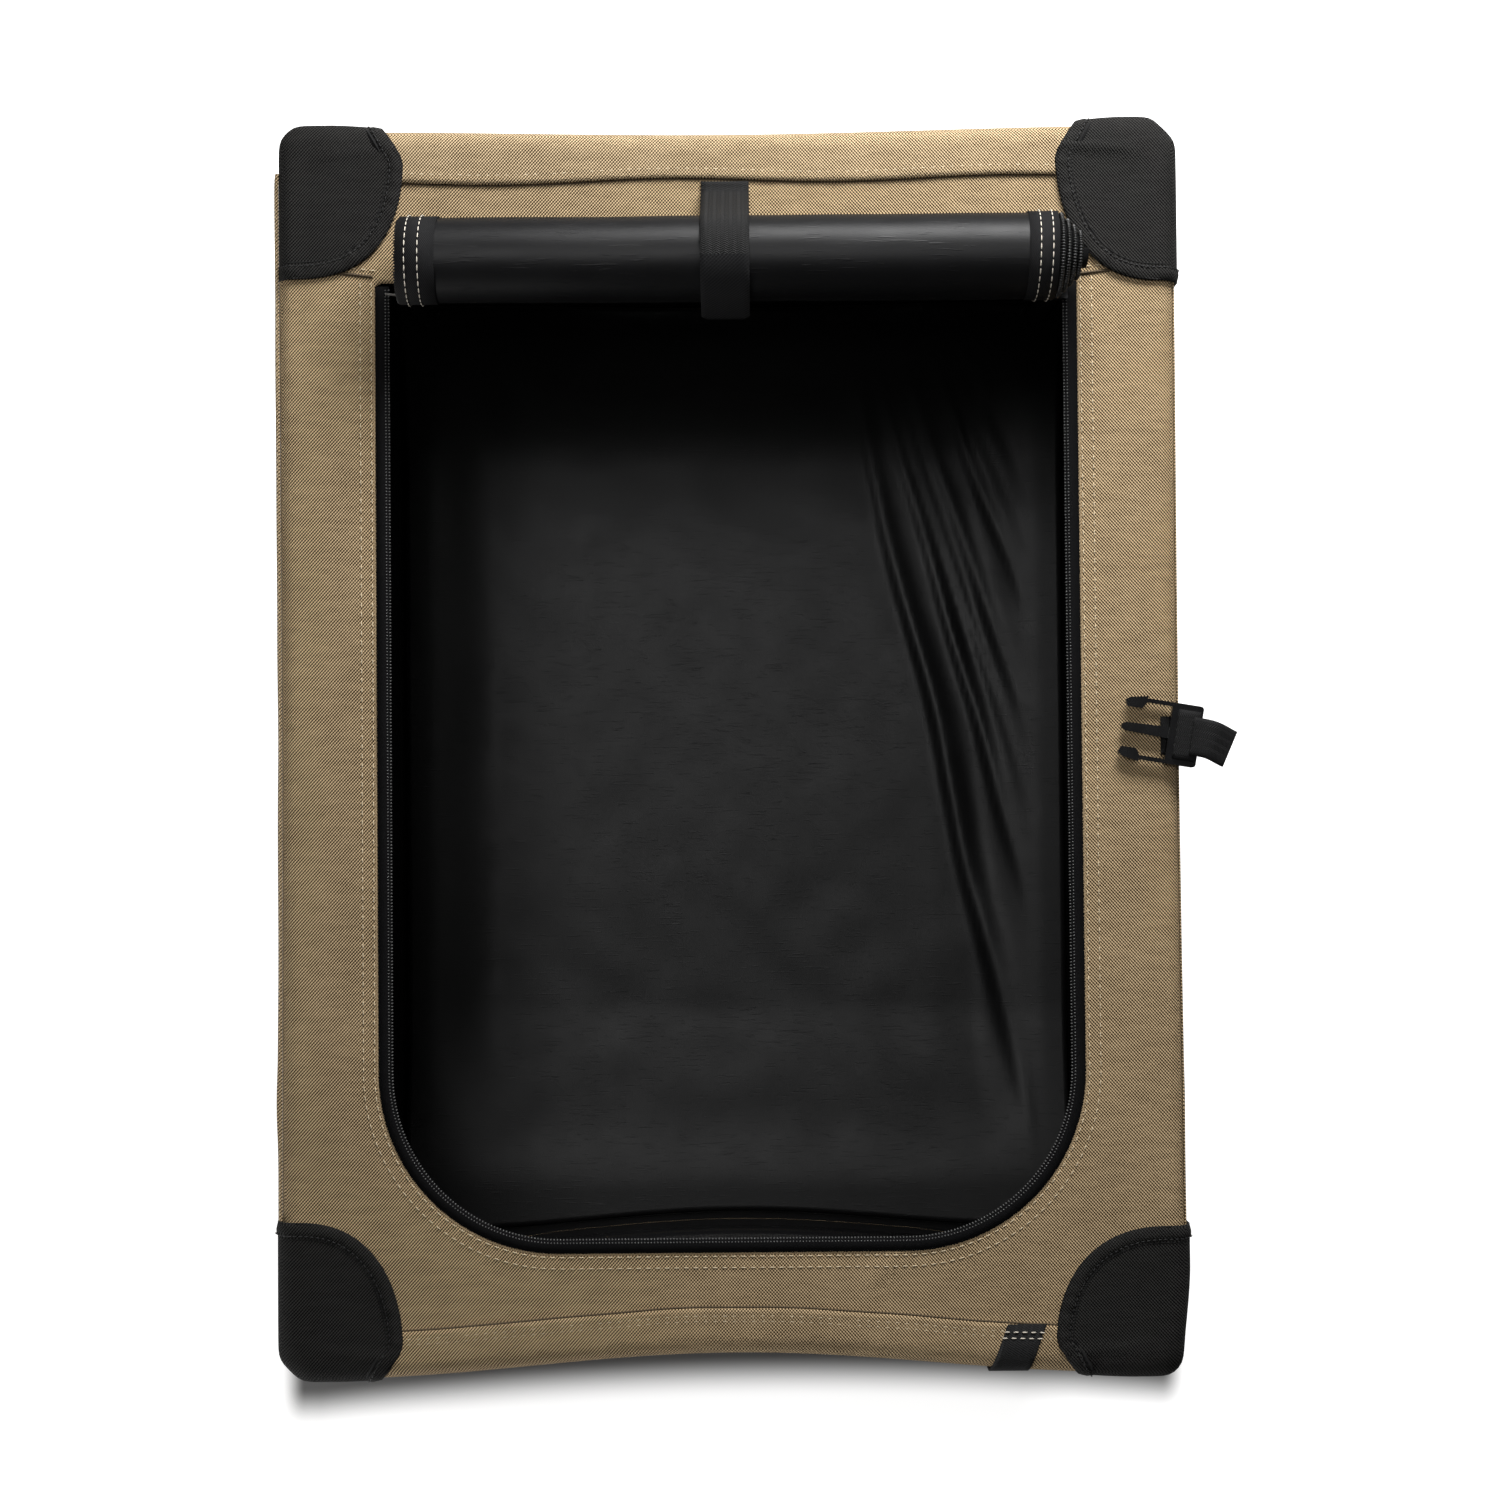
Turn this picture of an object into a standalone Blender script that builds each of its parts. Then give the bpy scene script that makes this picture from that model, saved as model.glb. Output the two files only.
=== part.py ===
"""A soft folding dog crate, standing open on its base with its top door rolled back.

Metres, +Z up. X is the width and Y the length, with the front short end at -Y. The origin
is on the floor under the middle of the base.

Two bowed steel rims carry the cover, and a pair of knee-jointed leg frames at each end
lifts the top rim off the base rim. When the knees fold inwards, the roof comes straight
down and the soft walls crumple between the roof and the base.
"""

import math

import bmesh
import bpy
from mathutils import Matrix, Vector

# The cover
crate_length = 0.660
crate_width = 0.478
crate_height = 0.457
corner_radius = 0.026
side_bow = 0.0008  # how far the middle of a long edge is drawn in
rear_bow = 0.003
front_bow = 0.012
cloth = 0.0015
mesh_cloth = 0.0006
roof_skirt = 0.036  # the rigid band of cloth round the top rim
base_skirt = 0.034
seat_gap = 0.0003  # left between pieces that touch
rim_gap = 0.0005  # between a rim tube and the cover round it
overrun = 0.004  # how far a cutter runs past what it cuts

# The steel frames
tube_radius = 0.007
leg_radius = 0.006
leg_side_inset = 0.022
leg_wall_clearance = 0.001
leg_bend_radius = 0.022
pivot_rise = 0.0152  # from a rim tube's centre to the crossbar that turns beside it
knee_offset = 0.0095  # from a leg's centre out to its knee pivot
knee_eye_radius = 0.0062
knee_pin_radius = 0.0024
knee_pin_head_radius = 0.0036
knee_pin_head = 0.0009
knee_collar_wall = 0.0019
knee_collar_length = 0.024
knee_half_gap = 0.008  # from the knee pivot to either collar
knee_collar_floor = 0.003
knee_cheek = 0.0028
knee_tongue = 0.0052
knee_pin_gap = 0.0004
clip_width = 0.018
clip_wall = 0.0022
clip_run_gap = 0.0005  # between a crossbar and the clip it turns in
clip_seat_gap = 0.0004
clip_corner_margin = 0.073  # from where the rim's corner begins to a clip's middle
clip_heel = 0.004  # how far a clip reaches past its rim tube's centre

# The top door and its zip
opening_side_margin = 0.0525  # between the crate's side and the door opening
opening_rear_margin = 0.0814
opening_front_margin = 0.0644
opening_front_radius = 0.095
opening_rear_radius = 0.004
zip_tape_width = 0.0082
zip_tape = 0.0010
zip_coil_radius = 0.0014
slider_length = 0.0105
slider_width = 0.0086
slider_height = 0.0056
slider_plate = 0.0010
slider_divider = 0.0012
slider_start = 0.0062  # from the rear end of the opening to the slider's middle
bail_wire = 0.00045
bail_span = 0.0042
bail_height = 0.0027
ring_radius = 0.0019
ring_wire = 0.0004

# The rolled flap and its strap
roll_radius = 0.0233
roll_rear_margin = 0.0743  # from the crate's rear end to the roll's middle
roll_left_inset = 0.0140  # from the door opening's side to the roll's outer layer
roll_right_inset = 0.0139
roll_skew_share = 1.1  # how far each layer stands to the right for its depth in the roll
roll_cloth = 0.0015
roll_pitch = 0.0031
roll_turns = 5.5
roll_start_angle = math.radians(-107)  # where the outer layer leaves the hinge seam
roll_coil_radius = 0.0010
roll_coil_start = 0.12  # the zip ends this many turns short of the hinge seam
roll_coil_turns = 4.0
strap_width = 0.0254
strap_cloth = 0.0014
strap_gap = 0.0005
strap_rear_margin = 0.028  # from the crate's rear end to the strap's seam
strap_sewn = 0.006
strap_tip = 0.021
strap_lie_angle = math.radians(200)  # how far round the roll from its seam the strap meets it

# The side-release buckle, its webbing and the front tab
webbing = 0.0013
webbing_width = 0.0203
buckle_y = 0.0045
buckle_turn = math.radians(-9.5)
buckle_body_length = 0.0165
buckle_body_width = 0.0325
buckle_thickness = 0.0042
buckle_rail = 0.0034
buckle_slot = 0.0032
prong_length = 0.0250
prong_stem = 0.0022
prong_head_length = 0.0115
prong_head_width = 0.0056
prong_thickness_share = 0.8
guide_width = 0.0062
guide_tip_share = 0.72
guide_thickness_share = 0.7
buckle_hinge_drop = 0.012
buckle_tail = 0.015
buckle_overhang = 0.0095
female_length = 0.0330
female_width = 0.0340
female_thickness = 0.0090
female_wall = 0.0016
female_mouth_margin = 0.0040
female_window_length = 0.0120
female_bar = 0.0036
female_slot = 0.0038
female_lead = 0.0110
tab_corner_margin = 0.0593  # from where the rim's corner begins to the tab's middle
tab_front_margin = 0.026  # from the crate's front end to the tab's seam
tab_drop = 0.014
tab_clearance = 0.0012
tab_slant_share = 0.37

# The windows and the end door
side_window_margin = 0.089  # from where the rim's corner begins to a side window
rear_window_margin = 0.063
window_bottom = 0.110
window_top_margin = 0.107  # from the roof down to a window
window_radius = 0.040
mesh_margin = 0.008
door_corner_margin = 0.048  # from where the rim's corner begins to the end door
door_bottom = 0.062
door_top_margin = 0.065
door_radius = 0.050
door_gap = 0.0008
door_border = 0.038

# The floor
board = 0.003
board_end_inset = 0.030
board_side_gap = 0.0006
board_radius = 0.020
liner_cloth = 0.0012
fold_height = 0.0075
fold_fan_x = -0.008
fold_fan_reach = 0.350  # how far behind the crate's rear end the folds fan out from
fold_angles = [math.radians(a) for a in (13.5, 18.3, 21.3, 25.2)]
fold_half_angle = math.radians(1.5)
fold_near = 0.400  # distance from the fan's centre at which the folds rise
fold_far = 0.900
fold_fade = 0.120
liner_side_inset = 0.0068  # from the board's side to the lining's
fold_edge_share = 0.25  # the share of the half width and length in which the folds die out

# The corner patches
patch_cloth = 0.0012
patch_width = 0.067
patch_length = 0.082
patch_fullness_share = 0.72  # 1 gives the inner edge an elliptical curve, and less a fuller one
patch_end_draw = 0.014  # how much narrower a patch is where it leaves the roof over an end
patch_skirt_draw = 0.026  # the same at the lower edge of the skirt

# Steps that only set how finely curves are drawn
side_steps = 5
corner_steps = 5
end_steps = 6
edge_steps = 4
round_steps = 16
spiral_steps = 18
strap_steps = 12
bail_steps = 8
coil_steps = 4
floor_rows = 24
floor_columns = 20
buckle_corner_steps = 3
patch_end_steps = 2

edge_radius = cloth + rim_gap + tube_radius
rim_inset = edge_radius
straight_x = crate_width / 2 - corner_radius
straight_y = crate_length / 2 - corner_radius
opening_half_width = crate_width / 2 - opening_side_margin
opening_rear = crate_length / 2 - opening_rear_margin
opening_front = crate_length / 2 - opening_front_margin
roll_centre_y = crate_length / 2 - roll_rear_margin
roll_left = opening_half_width - roll_left_inset
roll_right = opening_half_width - roll_right_inset
strap_seam_y = crate_length / 2 - strap_rear_margin
tab_x = straight_x - tab_corner_margin
tab_seam_y = tab_front_margin - crate_length / 2
clip_spread = straight_x - clip_corner_margin
side_window_half_width = straight_y - side_window_margin
rear_window_half_width = straight_x - rear_window_margin
window_top = crate_height - window_top_margin
door_half_width = straight_x - door_corner_margin
door_top = crate_height - door_top_margin
fold_fan_y = crate_length / 2 + fold_fan_reach
base_rim_z = rim_inset
top_rim_z = crate_height - rim_inset
base_pivot_z = base_rim_z + pivot_rise
top_pivot_z = top_rim_z - pivot_rise
knee_z = (base_pivot_z + top_pivot_z) / 2
leg_x = crate_width / 2 - leg_side_inset
collar_radius = leg_radius + seat_gap + knee_collar_wall
wall_bottom = base_skirt + seat_gap
wall_top = crate_height - roof_skirt - seat_gap
FRONT, REAR = -1, 1
LEFT, RIGHT = -1, 1
END_NAMES = {FRONT: "front", REAR: "rear"}
SIDE_NAMES = {LEFT: "left", RIGHT: "right"}
END_BOWS = {FRONT: front_bow, REAR: rear_bow}
X_AXIS = Vector((1, 0, 0))
# Turns a flat curve's own X, Y and Z into the crate's Y, Z and X.
SIDE_ON = Matrix(((0, 0, 1, 0), (1, 0, 0, 0), (0, 1, 0, 0), (0, 0, 0, 1)))


def pivot_y(end):
    """Where the crossbars at one end turn, just inside the end wall."""
    inside = END_BOWS[end] + cloth + leg_wall_clearance + leg_radius
    return end * (crate_length / 2 - inside)


def clear_scene():
    for obj in list(bpy.data.objects):
        bpy.data.objects.remove(obj, do_unlink=True)


def new_collection(name):
    collection = bpy.data.collections.new(name)
    bpy.context.scene.collection.children.link(collection)
    return collection


def principled(name, colour, roughness, metallic=0.0):
    material = bpy.data.materials.new(name)
    material.use_nodes = True
    shader = material.node_tree.nodes["Principled BSDF"]
    shader.inputs["Base Color"].default_value = (*colour, 1.0)
    shader.inputs["Roughness"].default_value = roughness
    shader.inputs["Metallic"].default_value = metallic
    material.diffuse_color = (*colour, 1.0)
    return material


def mesh_of(name, bm):
    mesh = bpy.data.meshes.new(name)
    bm.to_mesh(mesh)
    bm.free()
    mesh.update()
    return mesh


def add_part(name, mesh, finish, at=(0, 0, 0), turn=0.0):
    """A sub-part of the crate, in its own object with its own material."""
    obj = bpy.data.objects.new(name, mesh)
    crate.objects.link(obj)
    colour, roughness, metallic = finish
    obj.data.materials.clear()
    obj.data.materials.append(principled(name, colour, roughness, metallic))
    obj.location = at
    obj.rotation_euler = (0, 0, turn)
    return obj


def add_helper(name, mesh):
    """A cutter or a guide, which is no part of the crate."""
    obj = bpy.data.objects.new(name, mesh)
    cutters.objects.link(obj)
    obj.hide_render = True
    obj.display_type = "WIRE"
    return obj


def smooth(mesh, angle=math.radians(40)):
    mesh.shade_smooth()
    mesh.set_sharp_from_angle(angle=angle)
    return mesh


def thicken(obj, thickness, offset=-1.0):
    solidify = obj.modifiers.new("Thickness", "SOLIDIFY")
    solidify.thickness = thickness
    solidify.offset = offset
    solidify.use_even_offset = True
    return obj


def combine(obj, tool, operation):
    boolean = obj.modifiers.new(operation.title(), "BOOLEAN")
    boolean.operation = operation
    boolean.solver = "EXACT"
    boolean.object = tool
    return obj


def baked(obj, name):
    """The evaluated mesh of an object, with any loose caps welded."""
    bpy.context.view_layer.update()
    graph = bpy.context.evaluated_depsgraph_get()
    mesh = bpy.data.meshes.new_from_object(obj.evaluated_get(graph))
    mesh.transform(obj.matrix_world)
    mesh.name = name
    bm = bmesh.new()
    bm.from_mesh(mesh)
    bmesh.ops.remove_doubles(bm, verts=bm.verts, dist=seat_gap / 100)
    bmesh.ops.recalc_face_normals(bm, faces=bm.faces)
    bm.to_mesh(mesh)
    bm.free()
    return mesh


def built(name, base, steps):
    """The mesh left when tools are joined to a base mesh or cut from it."""
    helpers = [add_helper(name + "_base", base)]
    for number, (operation, tool) in enumerate(steps):
        helpers.append(add_helper(f"{name}_tool_{number}", tool))
        combine(helpers[0], helpers[-1], operation)
    mesh = baked(helpers[0], name)
    for helper in helpers:
        bpy.data.objects.remove(helper, do_unlink=True)
    return mesh


def skin(name, rings, cyclic=True, cap_first=False):
    """An open sheet lofted through rings of equally many points."""
    bm = bmesh.new()
    rows = [[bm.verts.new(point) for point in ring] for ring in rings]
    for low, high in zip(rows, rows[1:]):
        last = len(low) if cyclic else len(low) - 1
        for i in range(last):
            j = (i + 1) % len(low)
            bm.faces.new((low[i], low[j], high[j], high[i]))
    if cap_first:
        bm.faces.new(list(reversed(rows[0])))
    bmesh.ops.remove_doubles(bm, verts=bm.verts, dist=seat_gap / 100)
    return mesh_of(name, bm)


def box_mesh(name, low, high):
    bm = bmesh.new()
    low, high = Vector(low), Vector(high)
    place = Matrix.Translation((low + high) / 2) @ Matrix.Diagonal((*(high - low), 1))
    bmesh.ops.create_cube(bm, size=1, matrix=place)
    return mesh_of(name, bm)


def rod_mesh(name, start, end, radius, segments=round_steps):
    """A straight round bar from one point to another."""
    start, end = Vector(start), Vector(end)
    along = end - start
    turn = along.to_track_quat("Z", "Y").to_matrix().to_4x4()
    bm = bmesh.new()
    bmesh.ops.create_cone(
        bm,
        cap_ends=True,
        segments=segments,
        radius1=radius,
        radius2=radius,
        depth=along.length,
        matrix=Matrix.Translation((start + end) / 2) @ turn,
    )
    return smooth(mesh_of(name, bm))


def tube_mesh(name, points, radius, resolution=4, cyclic=False):
    """A round tube along a list of points, with its ends capped."""
    curve = bpy.data.curves.new(name, "CURVE")
    curve.dimensions = "3D"
    curve.bevel_depth = radius
    curve.bevel_resolution = resolution
    curve.use_fill_caps = True
    spline = curve.splines.new("POLY")
    spline.points.add(len(points) - 1)
    for slot, point in zip(spline.points, points):
        slot.co = (*point, 1)
    spline.use_cyclic_u = cyclic
    helper = add_helper(name + "_path", curve)
    mesh = baked(helper, name)
    bpy.data.objects.remove(helper, do_unlink=True)
    return smooth(mesh)


def plate_mesh(name, outline, thickness, place=Matrix.Identity(4)):
    """A flat outline given a thickness, half of it to each side."""
    curve = bpy.data.curves.new(name, "CURVE")
    curve.dimensions = "2D"
    curve.fill_mode = "BOTH"
    curve.extrude = thickness / 2
    spline = curve.splines.new("POLY")
    spline.points.add(len(outline) - 1)
    for slot, (x, y) in zip(spline.points, outline):
        slot.co = (x, y, 0, 1)
    spline.use_cyclic_u = True
    helper = add_helper(name + "_outline", curve)
    helper.matrix_world = place
    mesh = baked(helper, name)
    bpy.data.objects.remove(helper, do_unlink=True)
    return mesh


def ribbon(path, thickness):
    """The closed outline of a band of even thickness along a flat path."""
    left, right = [], []
    for i, point in enumerate(path):
        before = path[max(i - 1, 0)]
        after = path[min(i + 1, len(path) - 1)]
        along = Vector((after[0] - before[0], after[1] - before[1])).normalized()
        across = Vector((-along.y, along.x)) * (thickness / 2)
        left.append((point[0] + across.x, point[1] + across.y))
        right.append((point[0] - across.x, point[1] - across.y))
    return left + right[::-1]


def rounded_outline(half_width, low, high, radius, steps=corner_steps):
    """A rounded rectangle, anticlockwise, in a plane across the crate."""
    centres = (
        (half_width - radius, high - radius),
        (-half_width + radius, high - radius),
        (-half_width + radius, low + radius),
        (half_width - radius, low + radius),
    )
    points = []
    for corner, (x, y) in enumerate(centres):
        for step in range(steps + 1):
            angle = math.pi / 2 * (corner + step / steps)
            points.append((x + radius * math.cos(angle), y + radius * math.sin(angle)))
    return points


def bow_profile(share):
    """1 in the middle of an edge, falling smoothly to 0 where its corners begin."""
    return 0.5 + 0.5 * math.cos(math.pi * share)


def side_x(y, inset):
    return crate_width / 2 - inset - side_bow * bow_profile(y / straight_y)


def end_y(x, inset, end):
    return end * (crate_length / 2 - inset - END_BOWS[end] * bow_profile(x / straight_x))


def half_rim(inset, end):
    """One end of the bowed rim, from the middle of the right side to that of the left."""
    quarter = []
    for step in range(side_steps + 1):
        y = straight_y * step / side_steps
        quarter.append((side_x(y, inset), end * y))
    radius = corner_radius - inset
    for step in range(1, corner_steps + 1):
        angle = math.pi / 2 * step / corner_steps
        x = straight_x + radius * math.cos(angle)
        quarter.append((x, end * (straight_y + radius * math.sin(angle))))
    for step in range(1, end_steps + 1):
        x = straight_x * (1 - step / end_steps)
        quarter.append((x, end_y(x, inset, end)))
    return quarter + [(-x, y) for x, y in reversed(quarter[:-1])]


def half_opening(end):
    """One end of the door opening, with as many points as one end of the rim."""
    reach = opening_rear if end == REAR else opening_front
    radius = opening_rear_radius if end == REAR else opening_front_radius
    quarter = []
    for step in range(side_steps + 1):
        y = (reach - radius) * step / side_steps
        quarter.append((opening_half_width, end * y))
    for step in range(1, corner_steps + 1):
        angle = math.pi / 2 * step / corner_steps
        x = opening_half_width - radius * (1 - math.cos(angle))
        quarter.append((x, end * (reach - radius * (1 - math.sin(angle)))))
    for step in range(1, end_steps + 1):
        x = (opening_half_width - radius) * (1 - step / end_steps)
        quarter.append((x, end * reach))
    return quarter + [(-x, y) for x, y in reversed(quarter[:-1])]


def ring(half, z, *args):
    """A closed ring, anticlockwise, from a function that gives either end of it."""
    rear = half(*args, REAR)
    front = half(*args, FRONT)
    return [(x, y, z) for x, y in rear + front[-2:0:-1]]


def end_chord(x, inset, end):
    """The rim's Y and slope at x along its drawn straight pieces at one end."""
    points = sorted(p for p in half_rim(inset, end) if abs(p[0]) <= straight_x)
    for (x0, y0), (x1, y1) in zip(points, points[1:]):
        if x0 <= x <= x1 and x1 > x0:
            slope = (y1 - y0) / (x1 - x0)
            return y0 + slope * (x - x0), slope
    raise ValueError(f"no straight piece of the rim lies at x = {x}")


STEEL = ((0.045, 0.045, 0.05), 0.45, 0.6)
NYLON = ((0.02, 0.02, 0.022), 0.5, 0.0)
TAN = ((0.38, 0.28, 0.16), 0.9, 0.0)
BLACK_CLOTH = ((0.014, 0.014, 0.015), 0.85, 0.0)
LINING = ((0.008, 0.008, 0.009), 0.45, 0.0)
WEBBING = ((0.012, 0.012, 0.013), 0.8, 0.0)
BOARD = ((0.05, 0.05, 0.05), 0.9, 0.0)
ZINC = ((0.30, 0.30, 0.31), 0.35, 1.0)


def edge_rings(inset_of, flat_z, skirt_z, up):
    """The rounded edge of a cover, from its skirt to its flat face."""
    rings = [ring(half_rim, skirt_z, 0.0)]
    for step in range(edge_steps + 1):
        angle = math.pi / 2 * step / edge_steps
        inset = inset_of * (1 - math.cos(angle))
        z = flat_z - up * inset_of * (1 - math.sin(angle))
        rings.append(ring(half_rim, z, inset))
    return rings


def make_roof():
    rings = edge_rings(edge_radius, crate_height, crate_height - roof_skirt, 1)
    rings.append(ring(half_opening, crate_height))
    thicken(add_part("roof_panel", skin("roof_panel", rings), TAN), cloth)


def make_base_cover():
    rings = edge_rings(edge_radius, 0.0, base_skirt, -1)[::-1]
    mesh = skin("base_cover", rings, cap_first=True)
    thicken(add_part("base_cover", mesh, BLACK_CLOTH), cloth)


def make_rims():
    for level, z in (("base", base_rim_z), ("top", top_rim_z)):
        for end in (FRONT, REAR):
            path = [(x, y, z) for x, y in half_rim(rim_inset, end)]
            for i in (0, -1):
                path[i] = (path[i][0], end * seat_gap / 2, z)
            name = f"{level}_frame_tube_{END_NAMES[end]}"
            add_part(name, tube_mesh(name, path, tube_radius), STEEL)


def leg_frame_points(end, upper):
    """A leg frame: one crossbar and two legs that lean in towards their knees."""
    flip = -1 if upper else 1
    corner = Vector((leg_x, pivot_y(end), knee_z - flip * (knee_z - base_pivot_z)))
    stop = knee_half_gap + knee_collar_floor
    tip = Vector((leg_x, pivot_y(end) - end * knee_offset, knee_z))
    leg = (tip - corner).normalized()
    tip -= leg * (stop / abs(leg.z))
    bar = -X_AXIS
    middle = corner + leg_bend_radius * (leg + bar)
    half = [tip]
    for step in range(corner_steps + 1):
        angle = math.pi / 2 * step / corner_steps
        half.append(middle - leg_bend_radius * (math.cos(angle) * bar + math.sin(angle) * leg))
    return half + [Vector((-p.x, p.y, p.z)) for p in reversed(half)]


def make_leg_frames():
    for end in (FRONT, REAR):
        for upper in (False, True):
            name = f"{END_NAMES[end]}_{'upper' if upper else 'lower'}_leg_frame"
            mesh = tube_mesh(name, leg_frame_points(end, upper), leg_radius)
            add_part(name, mesh, STEEL)


def arc(centre, radius, start, end, steps):
    """Points along an arc, from one angle to the other, both ends included."""
    points = []
    for step in range(steps + 1):
        angle = start + (end - start) * step / steps
        points.append((centre[0] + radius * math.cos(angle), centre[1] + radius * math.sin(angle)))
    return points


def knee_half(name, below):
    """Half a knee with its pivot at the origin, inward along +Y and its leg below or above.

    The lower half has two cheeks and the pin, and the upper half has the tongue between
    them. The cheeks rise to the upper half's collar, which rests on them when the leg is
    straight.
    """
    way = -1 if below else 1
    rise = knee_z - base_pivot_z
    leg = Vector((0, -knee_offset, way * rise)).normalized()
    face = Vector((0, knee_offset, 0)) + leg * (knee_half_gap / abs(leg.z))
    collar_end = face + leg * knee_collar_length
    collar = rod_mesh(name, face, collar_end, collar_radius)
    bore_start = face + leg * knee_collar_floor
    bore = rod_mesh(name, bore_start, collar_end + leg * overrun, leg_radius + seat_gap)
    back = knee_offset + collar_radius / 2
    root = way * (knee_half_gap + knee_collar_floor / 2)
    stop = knee_half_gap - seat_gap - collar_radius * knee_offset / rise
    if below:
        inner = knee_tongue / 2 + seat_gap
        spans = [(-inner - knee_cheek, -inner), (inner, inner + knee_cheek)]
        outline = [(back, root), (back, stop), (0, stop)]
        outline += arc((0, 0), knee_eye_radius, math.pi / 2, math.pi * 3 / 2, round_steps // 2)
        outline.append((0, root))
    else:
        spans = [(-knee_tongue / 2, knee_tongue / 2)]
        outline = [(back, 0), (back, root), (0, root)]
        outline += arc((0, 0), knee_eye_radius, math.pi / 2, math.pi * 2, round_steps * 3 // 4)
    steps = []
    for x0, x1 in spans:
        place = Matrix.Translation(((x0 + x1) / 2, 0, 0)) @ SIDE_ON
        steps.append(("UNION", plate_mesh(name, outline, x1 - x0, place)))
    steps.append(("DIFFERENCE", bore))
    reach = spans[-1][1]
    if below:
        half_pin = reach + knee_pin_head / 2
        steps.append(("UNION", rod_mesh(name, (-half_pin, 0, 0), (half_pin, 0, 0), knee_pin_radius)))
        for side in (LEFT, RIGHT):
            ends = [(side * (reach - knee_pin_head), 0, 0), (side * (reach + knee_pin_head), 0, 0)]
            steps.append(("UNION", rod_mesh(name, *ends, knee_pin_head_radius)))
    else:
        ends = [(-reach - overrun, 0, 0), (reach + overrun, 0, 0)]
        hole = rod_mesh(name, *ends, knee_pin_radius + knee_pin_gap)
        steps.append(("DIFFERENCE", hole))
    return smooth(built(name, collar, steps), math.radians(30))


def make_knees():
    halves = {True: knee_half("knee_clevis", True), False: knee_half("knee_tongue", False)}
    for end in (FRONT, REAR):
        for side in (LEFT, RIGHT):
            for below, mesh in halves.items():
                kind = "knee_clevis" if below else "knee_tongue"
                name = f"{kind}_{END_NAMES[end]}_{SIDE_NAMES[side]}"
                turn = math.pi if end == REAR else 0.0
                at = (side * leg_x, pivot_y(end), knee_z)
                add_part(name, mesh.copy(), NYLON, at, turn)


def hull_mesh(name, outline, x0, x1):
    """The convex block round an outline seen from the side, between two widths."""
    bm = bmesh.new()
    for x in (x0, x1):
        for y, z in outline:
            bm.verts.new((x, y, z))
    found = bmesh.ops.convex_hull(bm, input=bm.verts)
    loose = [g for g in found["geom_interior"] if isinstance(g, bmesh.types.BMVert)]
    bmesh.ops.delete(bm, geom=loose, context="VERTS")
    bmesh.ops.dissolve_limit(bm, angle_limit=math.radians(0.5), verts=bm.verts, edges=bm.edges)
    return mesh_of(name, bm)


def clip_mesh(name, end, side, up):
    """A moulded clip that sits on a rim tube and lets a crossbar turn beside it."""
    x = side * clip_spread
    rim_z = base_rim_z if up > 0 else top_rim_z
    bar = Vector((x, pivot_y(end), rim_z + up * pivot_rise))
    rim_y, slope = end_chord(x, rim_inset, end)
    half = clip_width / 2
    outline = arc((bar.y, bar.z), leg_radius + clip_run_gap + clip_wall, 0, 2 * math.pi, round_steps)
    seat_radius = tube_radius + clip_seat_gap
    saddle = seat_radius + clip_wall
    outline += [
        (rim_y, rim_z + up * saddle),
        (rim_y - end * saddle, rim_z),
        (rim_y - end * saddle, rim_z - up * clip_heel),
    ]
    body = hull_mesh(name, outline, x - half, x + half)
    along = Vector((1, slope, 0)) * (half + overrun)
    rim = Vector((x, rim_y, rim_z))
    seat = rod_mesh(name, rim - along, rim + along, seat_radius, 2 * round_steps)
    reach = X_AXIS * (half + overrun)
    hole = rod_mesh(name, bar - reach, bar + reach, leg_radius + clip_run_gap)
    return smooth(built(name, body, [("DIFFERENCE", seat), ("DIFFERENCE", hole)]), math.radians(30))


def make_clips():
    for level, up in (("base", 1), ("top", -1)):
        for end in (FRONT, REAR):
            for side in (LEFT, RIGHT):
                name = f"{level}_clip_{END_NAMES[end]}_{SIDE_NAMES[side]}"
                add_part(name, clip_mesh(name, end, side, up), NYLON)


def wall_sheet(name, path, low=wall_bottom, high=wall_top):
    """An upright sheet of cloth along a path seen from above."""
    return skin(name, [[(x, y, z) for x, y in path] for z in (low, high)], cyclic=False)


def window_tool(name, half_width, low, high, radius, along_x, at):
    """A rounded block that cuts a window through an upright sheet."""
    outline = rounded_outline(half_width, low, high, radius)
    depth = 2 * (front_bow + side_bow + overrun)
    if along_x:
        place = Matrix(((1, 0, 0, 0), (0, 0, -1, at), (0, 1, 0, 0), (0, 0, 0, 1)))
    else:
        place = Matrix(((0, 0, 1, at), (1, 0, 0, 0), (0, 1, 0, 0), (0, 0, 0, 1)))
    return add_helper(name, plate_mesh(name, outline, depth, place))


def side_path(side, half_span, inset):
    """Points along a long side, running so that the sheet's outer face looks outwards."""
    steps = 2 * side_steps
    ys = [side * half_span * (2 * i / steps - 1) for i in range(steps + 1)]
    return [(side * side_x(y, inset), y) for y in ys]


def end_path(end, half_span, inset):
    steps = 2 * end_steps
    xs = [-end * half_span * (2 * i / steps - 1) for i in range(steps + 1)]
    return [(x, end_y(x, inset, end)) for x in xs]


def make_side_walls():
    for side in (LEFT, RIGHT):
        name = f"side_wall_{SIDE_NAMES[side]}"
        path = side_path(side, straight_y - seat_gap / 2, 0.0)
        wall = thicken(add_part(name, wall_sheet(name, path), TAN), cloth)
        size = (side_window_half_width, window_bottom, window_top)
        at = side * side_x(0, cloth)
        combine(wall, window_tool(name + "_window", *size, window_radius, False, at), "DIFFERENCE")
        name = f"window_mesh_{SIDE_NAMES[side]}"
        path = side_path(side, side_window_half_width + mesh_margin, cloth + seat_gap)
        zs = (window_bottom - mesh_margin, window_top + mesh_margin)
        thicken(add_part(name, wall_sheet(name, path, *zs), BLACK_CLOTH), mesh_cloth)


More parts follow.
